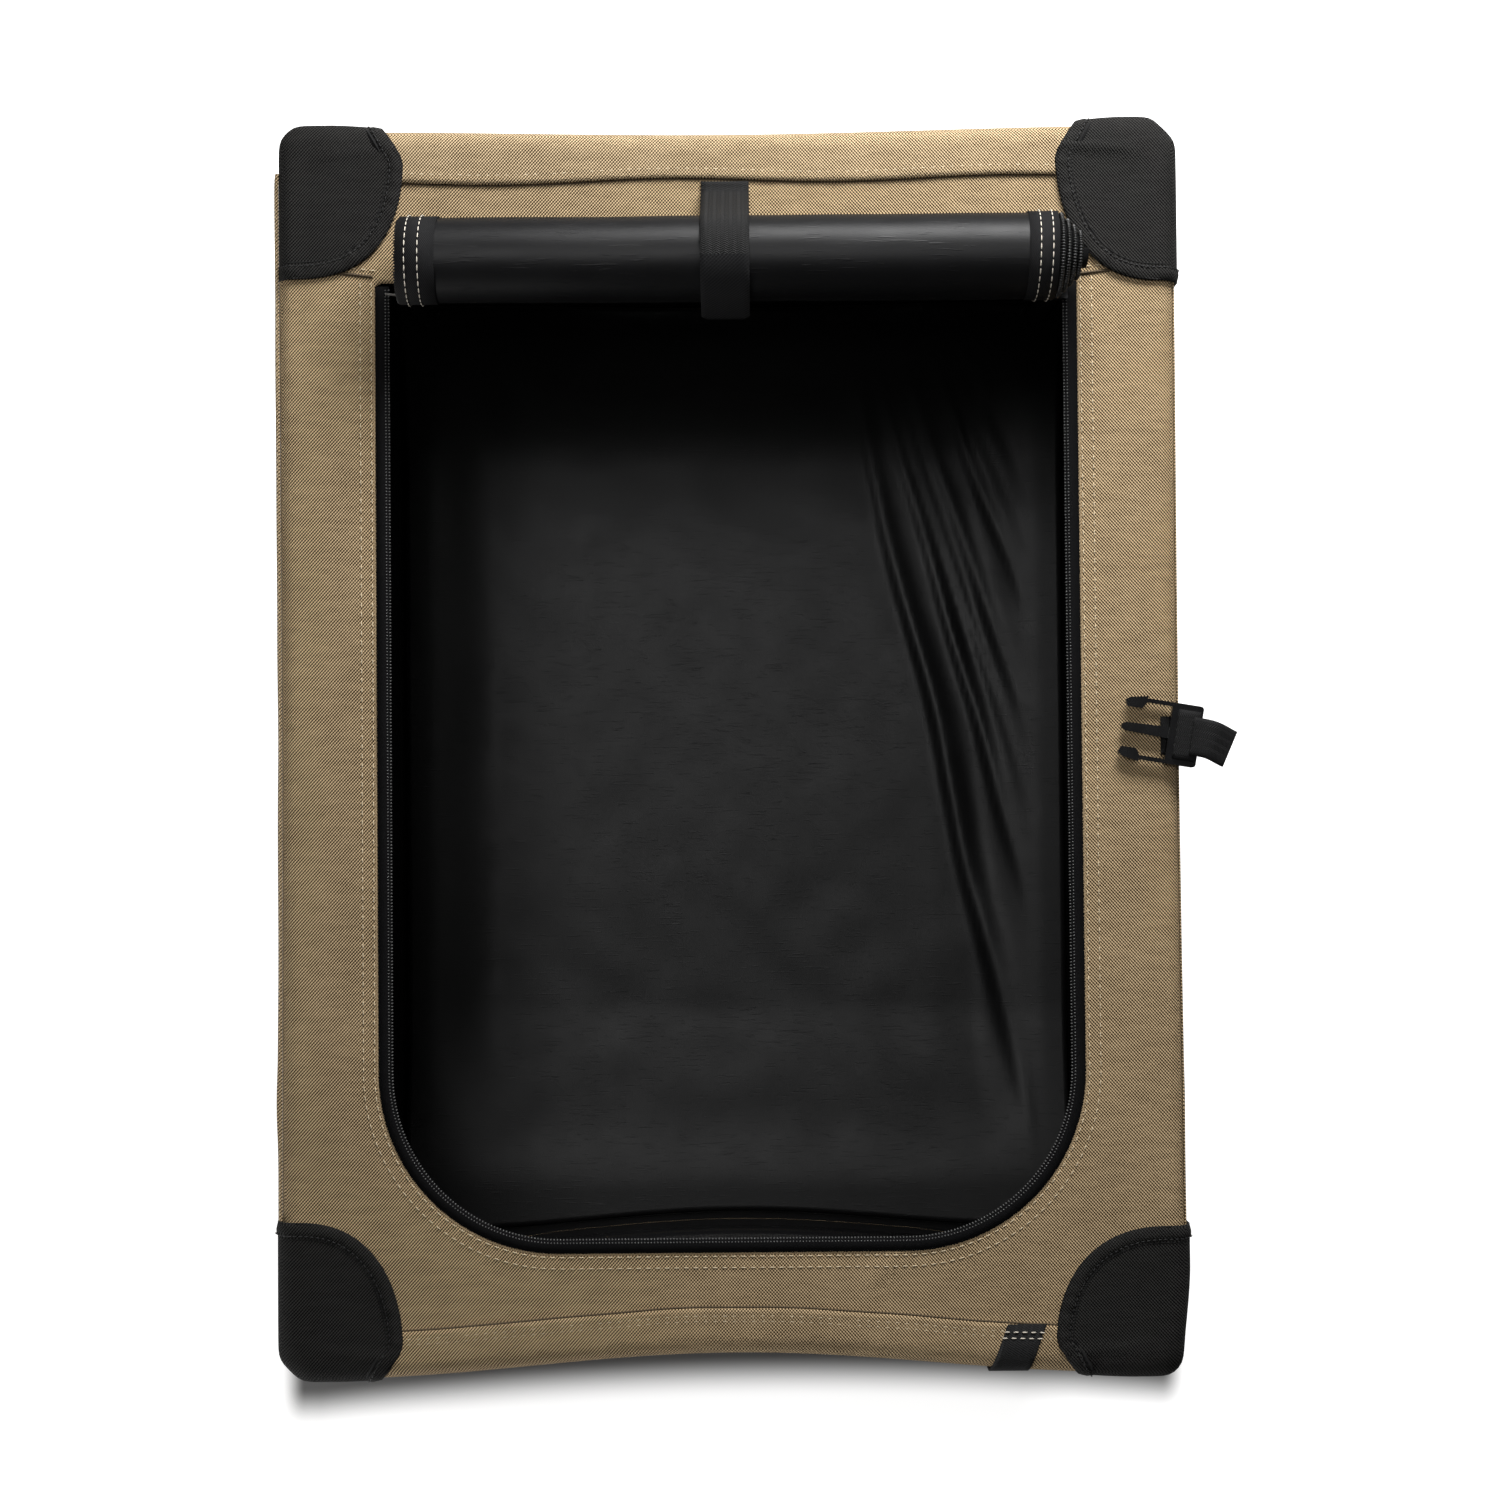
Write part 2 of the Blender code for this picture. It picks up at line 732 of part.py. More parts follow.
def end_wall_path(end):
    """The end wall runs round both corners to meet the long sides."""
    half = half_rim(0.0, end)
    path = half[side_steps:-side_steps]
    path[0] = (path[0][0], end * (straight_y + seat_gap / 2))
    path[-1] = (path[-1][0], path[0][1])
    return path if end == REAR else path[::-1]


def make_end_walls():
    for end in (FRONT, REAR):
        name = f"end_wall_{END_NAMES[end]}"
        wall = thicken(add_part(name, wall_sheet(name, end_wall_path(end)), TAN), cloth)
        at = end_y(0, cloth, end)
        if end == FRONT:
            size = (door_half_width, door_bottom, door_top, door_radius)
        else:
            size = (rear_window_half_width, window_bottom, window_top, window_radius)
        combine(wall, window_tool(name + "_window", *size, True, at), "DIFFERENCE")
    path = end_path(REAR, rear_window_half_width + mesh_margin, cloth + seat_gap)
    zs = (window_bottom - mesh_margin, window_top + mesh_margin)
    rear = wall_sheet("window_mesh_rear", path, *zs)
    thicken(add_part("window_mesh_rear", rear, BLACK_CLOTH), mesh_cloth)


def make_end_door():
    """The zipped front door, which opens outwards on its right edge."""
    hinge = Vector((door_half_width, end_y(door_half_width, 0.0, FRONT), 0))
    path = end_path(FRONT, door_half_width - door_gap, 0.0)
    zs = (door_bottom + door_gap, door_top - door_gap)
    at = end_y(0, cloth, FRONT)
    size = (door_half_width - door_gap, *zs, door_radius - door_gap)
    shape = window_tool("end_door_shape", *size, True, at)
    low, high = door_bottom + door_border, door_top - door_border
    hole_size = (door_half_width - door_border, low, high, window_radius)
    hole = window_tool("end_door_window", *hole_size, True, at)
    sheet = add_helper("end_door_sheet", wall_sheet("end_door_sheet", path, *zs))
    thicken(sheet, cloth)
    combine(sheet, shape, "INTERSECT")
    combine(sheet, hole, "DIFFERENCE")
    door = baked(sheet, "end_door")
    door.transform(Matrix.Translation(-hinge))
    add_part("end_door", door, TAN, hinge)
    path = end_path(FRONT, door_half_width - door_border + mesh_margin, cloth + seat_gap)
    mesh = wall_sheet("end_door_mesh", path, low - mesh_margin, high + mesh_margin)
    mesh.transform(Matrix.Translation(-hinge))
    thicken(add_part("end_door_mesh", mesh, BLACK_CLOTH, hinge), mesh_cloth)
    for helper in (sheet, shape, hole):
        bpy.data.objects.remove(helper, do_unlink=True)


def patch_paths(end, side, inset, draw=0.0):
    """The outer edge of a corner patch and, level with it, the curve of its inner edge.

    The patch is narrower by the draw along its short side.
    """
    rim = half_rim(inset, end)[: side_steps + corner_steps + 1]
    reach_x = crate_width / 2 - patch_width + draw
    reach_y = crate_length / 2 - patch_length
    edge = [(side_x(reach_y, inset), end * reach_y)]
    edge += [(x, y) for x, y in rim if abs(y) >= reach_y]
    for step in range(1, patch_end_steps + 1):
        x = straight_x + (reach_x - straight_x) * step / patch_end_steps
        edge.append((x, end_y(x, inset, end)))
    curve = []
    for i in range(len(edge)):
        angle = math.pi / 2 * i / (len(edge) - 1)
        corner_x, corner_y = edge[0][0], edge[-1][1]
        across = max(math.sin(angle), 0) ** patch_fullness_share
        along = max(math.cos(angle), 0) ** patch_fullness_share
        x = corner_x - (corner_x - edge[-1][0]) * across
        y = corner_y - (corner_y - edge[0][1]) * along
        curve.append((x, y))
    if side == LEFT:
        edge, curve = ([(-x, y) for x, y in line] for line in (edge, curve))
    if side * end < 0:
        edge, curve = edge[::-1], curve[::-1]
    return edge, curve


def make_roof_corners():
    """Black patches that wrap the roof's corners, with a curved inner edge."""
    top = crate_height + seat_gap
    for end in (FRONT, REAR):
        for side in (LEFT, RIGHT):
            name = f"roof_corner_{END_NAMES[end]}_{SIDE_NAMES[side]}"
            edge, _ = patch_paths(end, side, -seat_gap, patch_skirt_draw)
            rings = [[(x, y, crate_height - roof_skirt) for x, y in edge]]
            radius = edge_radius + seat_gap
            for step in range(edge_steps + 1):
                angle = math.pi / 2 * step / edge_steps
                inset = radius * (1 - math.cos(angle)) - seat_gap
                z = top - radius * (1 - math.sin(angle))
                draw = patch_end_draw * (1 - step / edge_steps)
                edge, curve = patch_paths(end, side, inset, draw)
                rings.append([(x, y, z) for x, y in edge])
            rings.append([(x, y, top) for x, y in curve])
            mesh = skin(name, rings, cyclic=False)
            thicken(add_part(name, mesh, BLACK_CLOTH), patch_cloth, 1.0)


def make_base_corners():
    for end in (FRONT, REAR):
        for side in (LEFT, RIGHT):
            name = f"base_corner_{END_NAMES[end]}_{SIDE_NAMES[side]}"
            edge, _ = patch_paths(end, side, -seat_gap)
            rings = [[(x, y, z) for x, y in edge] for z in (edge_radius, base_skirt)]
            mesh = skin(name, rings, cyclic=False)
            thicken(add_part(name, mesh, BLACK_CLOTH), patch_cloth, 1.0)


def make_floor():
    half_width = side_x(0, cloth + 2 * tube_radius + 2 * seat_gap) - board_side_gap
    half_length = crate_length / 2 - board_end_inset
    bottom = cloth + seat_gap
    outline = rounded_outline(half_width, -half_length, half_length, board_radius)
    place = Matrix.Translation((0, 0, bottom + board / 2))
    mesh = plate_mesh("floor_board", outline, board, place)
    add_part("floor_board", mesh, BOARD)
    top = bottom + board + seat_gap
    sheet = []
    for row in range(floor_rows + 1):
        share_y = 2 * row / floor_rows - 1
        y = half_length * share_y
        line = []
        for column in range(floor_columns + 1):
            share_x = 2 * column / floor_columns - 1
            x = (half_width - liner_side_inset) * share_x
            line.append((x, y, top + liner_fold(x, y, share_x, share_y)))
        sheet.append(line)
    mesh = smooth(skin("floor_liner", sheet, cyclic=False))
    thicken(add_part("floor_liner", mesh, LINING), liner_cloth, 1.0)


def liner_fold(x, y, share_x, share_y):
    """Height of the lining's slack folds, which fan out towards the front right."""
    away = Vector((x - fold_fan_x, fold_fan_y - y))
    angle = math.atan2(away.x, away.y)
    near = min(max((away.length - fold_near) / fold_fade, 0), 1)
    far = min(max((fold_far - away.length) / fold_fade, 0), 1)
    edge = min((1 - max(abs(share_x), abs(share_y))) / fold_edge_share, 1)
    height = 0.0
    for ridge in fold_angles:
        across = abs(angle - ridge) / fold_half_angle
        if across < 1:
            height = max(height, 0.5 + 0.5 * math.cos(math.pi * across))
    return fold_height * height * near * far * edge


def opening_path(inset):
    """The U of the door zip, from the rear right corner round the front to the rear left."""
    x = opening_half_width - inset
    y = opening_front - inset
    radius = opening_front_radius - inset
    path = [(x, opening_rear - opening_rear_radius)]
    for step in range(corner_steps + 1):
        angle = math.pi / 2 * step / corner_steps
        path.append((x - radius * (1 - math.cos(angle)), -y + radius * (1 - math.sin(angle))))
    return path + [(-px, py) for px, py in reversed(path)]


def make_zip_track():
    """The tape sewn inside the door opening, with its coil along the free edge."""
    profile = bpy.data.curves.new("zip_profile", "CURVE")
    profile.dimensions = "2D"
    spline = profile.splines.new("POLY")
    outer = zip_tape_width / 2
    neck = outer - 2 * zip_coil_radius
    shape = [(-outer, -zip_tape / 2), (neck, -zip_tape / 2)]
    for step in range(coil_steps + 1):
        angle = math.pi * (step / coil_steps - 0.5)
        x = neck + zip_coil_radius + zip_coil_radius * math.cos(angle)
        shape.append((x - zip_coil_radius / 2, zip_coil_radius * math.sin(angle)))
    shape += [(neck, zip_tape / 2), (-outer, zip_tape / 2)]
    spline.points.add(len(shape) - 1)
    for slot, (x, y) in zip(spline.points, shape):
        slot.co = (x, y, 0, 1)
    spline.use_cyclic_u = True
    guide = add_helper("zip_profile", profile)
    curve = bpy.data.curves.new("door_zip_track", "CURVE")
    curve.dimensions = "2D"
    curve.bevel_mode = "OBJECT"
    curve.bevel_object = guide
    curve.use_fill_caps = True
    path = opening_path(seat_gap + zip_tape_width / 2)
    spline = curve.splines.new("POLY")
    spline.points.add(len(path) - 1)
    for slot, (x, y) in zip(spline.points, path):
        slot.co = (x, y, 0, 1)
    helper = add_helper("door_zip_path", curve)
    helper.location = (0, 0, crate_height - cloth / 2)
    mesh = baked(helper, "door_zip_track")
    for used in (helper, guide):
        bpy.data.objects.remove(used, do_unlink=True)
    add_part("door_zip_track", mesh, WEBBING)


def slider_place():
    """The slider's middle: its right channel holds the coil of the right side."""
    coil_x = opening_half_width - seat_gap - zip_tape_width + zip_coil_radius
    lane = slider_divider / 2 + seat_gap + 2 * zip_coil_radius
    x = coil_x - lane + zip_coil_radius
    return Vector((x, opening_rear - slider_start, crate_height - cloth / 2))


def make_zip_slider():
    """Two plates joined by a divider, with a bail on top that holds the pull ring."""
    half = Vector((slider_width / 2, slider_length / 2, slider_height / 2))
    body = box_mesh("zip_slider", -half, half)
    inner = half.z - slider_plate
    steps = []
    for side in (LEFT, RIGHT):
        xs = sorted((side * slider_divider / 2, side * (half.x + overrun)))
        low = (xs[0], -half.y - overrun, -inner)
        steps.append(("DIFFERENCE", box_mesh("lane", low, (xs[1], half.y + overrun, inner))))
    throat = box_mesh("throat", (-half.x, -half.y - overrun, -inner), (half.x, 0, inner))
    steps.append(("DIFFERENCE", throat))
    bail = []
    for step in range(bail_steps + 1):
        angle = math.pi * step / bail_steps
        y = bail_span / 2 * math.cos(angle)
        bail.append((0, y, half.z - bail_wire + bail_height * math.sin(angle)))
    steps.append(("UNION", tube_mesh("bail", bail, bail_wire, 1)))
    add_part("zip_slider", built("zip_slider", body, steps), ZINC, slider_place())
    pivot = slider_place() + Vector((0, ring_wire + seat_gap, half.z + 2 * ring_wire))
    loop = []
    for x, y in arc((0, -ring_radius), ring_radius, 0, 2 * math.pi, round_steps)[:-1]:
        loop.append((x, y, 0))
    add_part("zip_pull_ring", tube_mesh("zip_pull_ring", loop, ring_wire, 1, True), ZINC, pivot)


def roll_centre():
    lift = roll_radius * math.sin(-roll_start_angle)
    return Vector((roll_centre_y, crate_height + seat_gap + lift))


def roll_layer_radius(turned):
    """Radius of the middle of the rolled cloth after it has turned by an angle."""
    return roll_radius - roll_cloth / 2 - roll_pitch * turned / (2 * math.pi)


def on_roll(angle, radius):
    centre = roll_centre()
    return (centre.x + radius * math.cos(angle), centre.y + radius * math.sin(angle))


def roll_path(first_turn, turns):
    path = []
    for step in range(round(first_turn * spiral_steps), round(turns * spiral_steps) + 1):
        turned = 2 * math.pi * step / spiral_steps
        path.append(on_roll(roll_start_angle - turned, roll_layer_radius(turned)))
    return path


def make_door_roll():
    """The flap wound up in a spiral, with its zip coil wound in at both ends."""
    slope = math.hypot(1, roll_skew_share)
    inset = roll_coil_radius + (roll_coil_radius + seat_gap) * slope
    length = roll_left + roll_right - 2 * inset
    place = Matrix.Translation(((roll_right - roll_left) / 2, 0, 0)) @ SIDE_ON
    outline = ribbon(roll_path(0, roll_turns), roll_cloth)
    mesh = plate_mesh("door_roll", outline, length, place)
    centre = roll_centre()
    for vertex in mesh.vertices:
        across = Vector(vertex.co.yz) - centre
        vertex.co.x += roll_skew_share * (roll_radius - across.length)
    add_part("door_roll", mesh, LINING)
    gap = roll_pitch - roll_cloth
    print(f"door_roll: least gap between its layers {1000 * gap:.2f} mm")
    for side, reach in ((LEFT, roll_left), (RIGHT, roll_right)):
        name = f"roll_zip_coil_{SIDE_NAMES[side]}"
        x = side * (reach - roll_coil_radius)
        points = []
        for y, z in roll_path(roll_coil_start, roll_coil_turns):
            depth = roll_radius - (Vector((y, z)) - centre).length
            points.append((x + roll_skew_share * depth, y, z))
        add_part(name, tube_mesh(name, points, roll_coil_radius, 1), WEBBING)
        gap = roll_pitch - 2 * roll_coil_radius
        print(f"{name}: least gap between its turns {1000 * gap:.2f} mm")


def strap_path():
    """The strap from its seam, over the roll and off its front at the furthest point."""
    centre = roll_centre()
    seam = Vector((strap_seam_y, crate_height + seat_gap))
    low = seam.y + strap_cloth / 2
    path = [(seam.x, low), (seam.x - strap_sewn, low)]
    lift = strap_gap + (roll_cloth + strap_cloth) / 2
    start = Vector(path[-1])
    first = math.atan2(start.y - centre.y, start.x - centre.x)
    radius = roll_layer_radius(strap_lie_angle) + lift
    first += math.acos(radius / (start - centre).length)
    last = math.atan2(centre.y - seam.y, centre.x - seam.x)
    for step in range(strap_steps + 1):
        angle = first + (last - first) * step / strap_steps
        turned = roll_start_angle - angle + 2 * math.pi
        path.append(on_roll(angle, roll_layer_radius(turned) + lift))
    along = last + math.pi / 2
    end = path[-1]
    path.append((end[0] + strap_tip * math.cos(along), end[1] + strap_tip * math.sin(along)))
    return path


def make_roll_strap():
    hinge = Vector((0, strap_seam_y, crate_height + seat_gap))
    mesh = plate_mesh("roll_strap", ribbon(strap_path(), strap_cloth), strap_width, SIDE_ON)
    mesh.transform(Matrix.Translation(-hinge))
    add_part("roll_strap", mesh, WEBBING, hinge)


def male_mesh():
    """The pronged half, flat, with its prongs along -X and its body's middle at the origin."""
    half = buckle_body_length / 2
    wide = buckle_body_width / 2
    corners = rounded_outline(wide, -half, half, buckle_rail / 2, buckle_corner_steps)
    outline = [(y, x) for x, y in corners]
    body = plate_mesh("buckle_male", outline[::-1], buckle_thickness)
    steps = []
    slot_half = wide - buckle_rail
    for x in (-half + buckle_rail + buckle_slot / 2, half - buckle_rail / 2 - buckle_slot / 2):
        low = (x - buckle_slot / 2, -slot_half, -buckle_thickness)
        slot = box_mesh("slot", low, (x + buckle_slot / 2, slot_half, buckle_thickness))
        steps.append(("DIFFERENCE", slot))
    root, tip = -half + buckle_rail / 2, -half - prong_length
    neck = tip + prong_head_length
    for side in (LEFT, RIGHT):
        outer = side * wide
        inner = side * (wide - prong_stem)
        head = side * (wide - prong_head_width)
        prong = [
            (root, inner),
            (root, outer),
            (neck, outer),
            (neck, outer + side * prong_stem / 2),
            (tip + prong_head_width / 2, outer - side * prong_stem / 4),
            (tip, (outer + head) / 2 + side * prong_stem / 4),
            (tip + prong_head_width / 4, head),
            (neck - prong_stem, head),
            (neck, inner),
        ]
        thickness = buckle_thickness * prong_thickness_share
        steps.append(("UNION", plate_mesh("prong", prong[::side], thickness)))
    tip_half = guide_width / 2 * guide_tip_share
    guide = [
        (root, guide_width / 2),
        (tip + tip_half, tip_half),
        (tip, tip_half / 2),
        (tip, -tip_half / 2),
        (tip + tip_half, -tip_half),
        (root, -guide_width / 2),
    ]
    thickness = buckle_thickness * guide_thickness_share
    steps.append(("UNION", plate_mesh("guide", guide, thickness)))
    return built("buckle_male", body, steps)


def edge_on(y):
    """Turns a flat curve's own X, Y and Z into the crate's X, Z and -Y, at a given Y."""
    return Matrix(((1, 0, 0, 0), (0, 0, -1, y), (0, 1, 0, 0), (0, 0, 0, 1)))


def make_male_buckle():
    """The pronged half lies on the roof's right edge, with its webbing over the edge."""
    edge = side_x(buckle_y, 0.0)
    hinge = Vector((edge + seat_gap, buckle_y, crate_height - buckle_hinge_drop))
    body_z = crate_height + 2 * seat_gap + webbing + buckle_thickness / 2
    middle = Vector((edge + buckle_overhang - buckle_body_length / 2, buckle_y, body_z))
    turned = Matrix.Translation(middle - hinge) @ Matrix.Rotation(buckle_turn, 4, "Z")
    mesh = male_mesh()
    mesh.transform(turned)
    add_part("buckle_male", mesh, NYLON, hinge)
    radius = edge_radius + seat_gap + webbing / 2
    centre = (edge - edge_radius, crate_height - edge_radius)
    path = [(centre[0] + radius, hinge.z)] + arc(centre, radius, 0, math.pi / 2, edge_steps)
    path.append((centre[0] - webbing, centre[1] + radius))
    band = plate_mesh("buckle_webbing", ribbon(path, webbing), webbing_width, edge_on(buckle_y))
    band.transform(Matrix.Translation(-hinge))
    add_part("buckle_webbing", band, WEBBING, hinge)
    top = (buckle_thickness + webbing) / 2 + seat_gap
    bend = buckle_body_length / 2 + webbing
    tail = [(buckle_rail, top), (bend, top), (bend + buckle_tail / 2, top - buckle_tail / 4)]
    tail.append((bend + buckle_tail, top - buckle_tail))
    flap = plate_mesh("buckle_tail", ribbon(tail, webbing), webbing_width, edge_on(0))
    flap.transform(turned)
    add_part("buckle_tail", flap, WEBBING, hinge)


def make_female_buckle():
    """The socket half lies on the floor beside the base, on a short lead of webbing."""
    edge = side_x(buckle_y, 0.0)
    hinge = Vector((edge + seat_gap, buckle_y, female_thickness / 2))
    start = female_lead - seat_gap
    end = start + female_length
    half = female_width / 2
    deep = female_thickness / 2
    margin = female_mouth_margin
    shell = box_mesh("buckle_female", (start, -half, -deep), (end, half, deep))
    bar_end = start + female_bar
    mouth_start = bar_end + female_slot + female_wall
    inner = deep - female_wall
    low = (mouth_start, -half + margin, -inner)
    mouth = box_mesh("mouth", low, (end + overrun, half - margin, inner))
    window = end - female_wall - female_window_length - margin
    low = (window, -half - overrun, -inner)
    windows = box_mesh("windows", low, (window + female_window_length, half + overrun, inner))
    low = (bar_end, -half + margin, -deep - overrun)
    slot = box_mesh("slot", low, (bar_end + female_slot, half - margin, deep + overrun))
    cuts = [("DIFFERENCE", tool) for tool in (mouth, windows, slot)]
    add_part("buckle_female", built("buckle_female", shell, cuts), NYLON, hinge)
    above = edge_radius - hinge.z - webbing / 2
    seam = edge_radius - math.sqrt(edge_radius ** 2 - above ** 2)
    path = [(-seam, 0), (start - seat_gap, 0)]
    band = plate_mesh("female_webbing", ribbon(path, webbing), webbing_width, edge_on(0))
    add_part("female_webbing", band, WEBBING, hinge)


def make_front_tab():
    """A webbing tab sewn at the front seam that slants over the front edge."""
    edge = crate_length / 2 - END_BOWS[FRONT] * bow_profile(tab_x / straight_x)
    radius = edge_radius + tab_clearance + webbing / 2
    path = [(-tab_seam_y, crate_height + seat_gap + webbing / 2)]
    for step in range(edge_steps + 1):
        angle = math.pi / 2 * (1 - step / edge_steps)
        y = edge - edge_radius + radius * math.cos(angle)
        path.append((y, crate_height - edge_radius + radius * math.sin(angle)))
    path.append((path[-1][0], crate_height - edge_radius - tab_drop))
    outline = [(-y, z) for y, z in ribbon(path, webbing)]
    place = Matrix.Translation((tab_x, 0, 0)) @ SIDE_ON
    band = plate_mesh("front_tab", outline, webbing_width, place)
    for vertex in band.vertices:
        vertex.co.x += (vertex.co.y - tab_seam_y) * tab_slant_share
    add_part("front_tab", band, WEBBING)


clear_scene()
crate = new_collection("soft_folding_crate")
cutters = new_collection("cutters")
cutters.hide_render = True
make_roof()
make_base_cover()
make_rims()
make_leg_frames()
make_knees()
make_clips()
make_side_walls()
make_end_walls()
make_end_door()
make_roof_corners()
make_base_corners()
make_floor()
make_zip_track()
make_zip_slider()
make_door_roll()
make_roll_strap()
make_male_buckle()
make_female_buckle()
make_front_tab()
print(len(crate.objects), "sub-parts")
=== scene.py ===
# %% [markdown]
# # A soft folding dog crate, seen from above
# The crate stands open on its base. Its top door is unzipped and rolled back to the rear
# end, where a strap holds the roll. The rigid pieces come from the packed frame, and this
# lesson sews the cloth round them: roof, walls, patches, zips, roll, lining and stitches.

# %% Load the frame
import math

import bmesh
import bpy
import numpy as np
from mathutils import Matrix, Vector, noise


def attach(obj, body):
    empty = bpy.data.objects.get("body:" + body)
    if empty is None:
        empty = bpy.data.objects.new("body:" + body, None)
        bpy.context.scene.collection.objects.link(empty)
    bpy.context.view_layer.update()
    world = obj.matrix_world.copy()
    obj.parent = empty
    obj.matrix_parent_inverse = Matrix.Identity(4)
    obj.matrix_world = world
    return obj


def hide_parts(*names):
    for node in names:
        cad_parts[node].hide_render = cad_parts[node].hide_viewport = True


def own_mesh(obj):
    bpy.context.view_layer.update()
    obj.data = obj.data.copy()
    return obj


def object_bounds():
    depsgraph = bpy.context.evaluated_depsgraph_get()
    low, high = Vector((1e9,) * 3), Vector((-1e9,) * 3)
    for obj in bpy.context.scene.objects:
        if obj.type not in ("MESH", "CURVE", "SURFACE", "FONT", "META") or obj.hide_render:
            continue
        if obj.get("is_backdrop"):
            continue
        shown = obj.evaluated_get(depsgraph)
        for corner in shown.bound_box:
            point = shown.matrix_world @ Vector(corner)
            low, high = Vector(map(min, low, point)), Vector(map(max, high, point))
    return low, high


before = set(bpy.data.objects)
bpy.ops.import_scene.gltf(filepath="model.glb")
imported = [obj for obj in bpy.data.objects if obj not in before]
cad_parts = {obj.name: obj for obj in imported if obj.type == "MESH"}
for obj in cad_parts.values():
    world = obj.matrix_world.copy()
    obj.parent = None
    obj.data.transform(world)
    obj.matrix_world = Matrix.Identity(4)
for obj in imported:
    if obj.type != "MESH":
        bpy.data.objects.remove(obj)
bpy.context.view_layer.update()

# %% [markdown]
# ## Sizes
# The cloth has to lie on the frame, so it follows the same sizes as the crate's own
# drawing. Each is in metres. X is the width, Y the length, and the end door is at -Y.

# %% Sizes of the crate
LENGTH, WIDTH, HEIGHT = 0.660, 0.478, 0.457
CORNER = 0.026
SIDE_BOW, REAR_BOW, FRONT_BOW = 0.0008, 0.003, 0.012
CLOTH = 0.0015
GAP = 0.0003
TUBE, LEG = 0.007, 0.006
EDGE = CLOTH + 0.0005 + TUBE
ROOF_SKIRT, BASE_SKIRT = 0.036, 0.034
OPEN_X, OPEN_REAR, OPEN_FRONT = 0.1865, 0.2486, 0.2656
OPEN_CORNER = 0.095
STRAIGHT_X, STRAIGHT_Y = WIDTH / 2 - CORNER, LENGTH / 2 - CORNER
LEG_X = WIDTH / 2 - 0.022
PIVOT_RISE = 0.0152
KNEE_OFFSET = 0.0095
BASE_PIVOT = EDGE + PIVOT_RISE
KNEE = HEIGHT / 2
FRONT, REAR, LEFT, RIGHT = -1, 1, -1, 1
BOW = {FRONT: FRONT_BOW, REAR: REAR_BOW}
print(f"crate {WIDTH} x {LENGTH} x {HEIGHT} m, edge radius {EDGE:.4f} m")

# %% [markdown]
# ## One outline for everything
# The rim is a rectangle with round corners whose edges are drawn in by the taut cloth.
# Every wall, hem and patch follows it, so it is worked out once, as points with their
# distance round the crate, and pieces ask for the place at a distance and an inset.


# %% The bowed outline
def bow(share):
    return 0.5 + 0.5 * math.cos(math.pi * share)


def quarter_turn(steps, first=0):
    """Angles up to a right angle, in even steps."""
    return [math.pi / 2 * i / steps for i in range(first, steps + 1)]


def quarter_outline(inset, end, steps=(48, 14, 40)):
    """From the middle of the right side, round one corner, to the middle of an end."""
    points = []
    for i in range(steps[0] + 1):
        y = STRAIGHT_Y * i / steps[0]
        points.append((WIDTH / 2 - inset - SIDE_BOW * bow(y / STRAIGHT_Y), end * y))
    radius = CORNER - inset
    for angle in quarter_turn(steps[1], 1):
        x, y = STRAIGHT_X + radius * math.cos(angle), STRAIGHT_Y + radius * math.sin(angle)
        points.append((x, end * y))
    for i in range(1, steps[2] + 1):
        x = STRAIGHT_X * (1 - i / steps[2])
        points.append((x, end * (LENGTH / 2 - inset - BOW[end] * bow(x / STRAIGHT_X))))
    return points


def closed(quarter):
    """A closed ring from a function that gives one quarter of it for either end."""
    halves = []
    for end in (REAR, FRONT):
        points = quarter(end)
        halves.append(points + [(-x, y) for x, y in reversed(points[:-1])])
    return halves[0] + halves[1][-2:0:-1]


def rim_ring(inset, z):
    return [(x, y, z) for x, y in closed(lambda end: quarter_outline(inset, end))]


print("a quarter of the outline:", len(quarter_outline(0.0, REAR)), "points")

# %% [markdown]
# A piece asks for its place by the distance round the crate, from the middle of the front
# towards the right, and by how far in it lies. So the outline also gets its running length
# and, at each point, the way outwards.


# %% Places on the outline
rim = np.array(closed(lambda end: quarter_outline(0.0, end)))
start = int(np.argmin(np.hypot(rim[:, 0], rim[:, 1] + LENGTH / 2 - FRONT_BOW)))
rim = np.vstack([np.roll(rim, -start, 0), rim[start]])
rim_run = np.concatenate([[0], np.cumsum(np.hypot(*np.diff(rim, axis=0).T))])
tangent = np.gradient(rim, axis=0)
tangent[0] = tangent[-1] = (1, 0)
rim_normal = np.stack([tangent[:, 1], -tangent[:, 0]], 1) / np.hypot(*tangent.T)[:, None]
AROUND = rim_run[-1]


def smooth_step(value, low, high):
    t = min(max((value - low) / (high - low), 0), 1)
    return t * t * (3 - 2 * t)


def on_rim(run, inset=0.0):
    """The place at a distance round the crate, from the front's middle to the right."""
    run = run % AROUND
    place = [np.interp(run, rim_run, rim[:, i]) for i in (0, 1)]
    outward = [np.interp(run, rim_run, rim_normal[:, i]) for i in (0, 1)]
    return place[0] - inset * outward[0], place[1] - inset * outward[1]


def run_at(x, y):
    """The distance round the crate of the outline's nearest place to a point."""
    legs = np.diff(rim, axis=0)
    share = np.clip(((np.array((x, y)) - rim[:-1]) * legs).sum(1) / (legs ** 2).sum(1), 0, 1)
    best = int(np.argmin(np.hypot(*(rim[:-1] + legs * share[:, None] - (x, y)).T)))
    return float(rim_run[best] + share[best] * (rim_run[best + 1] - rim_run[best]))


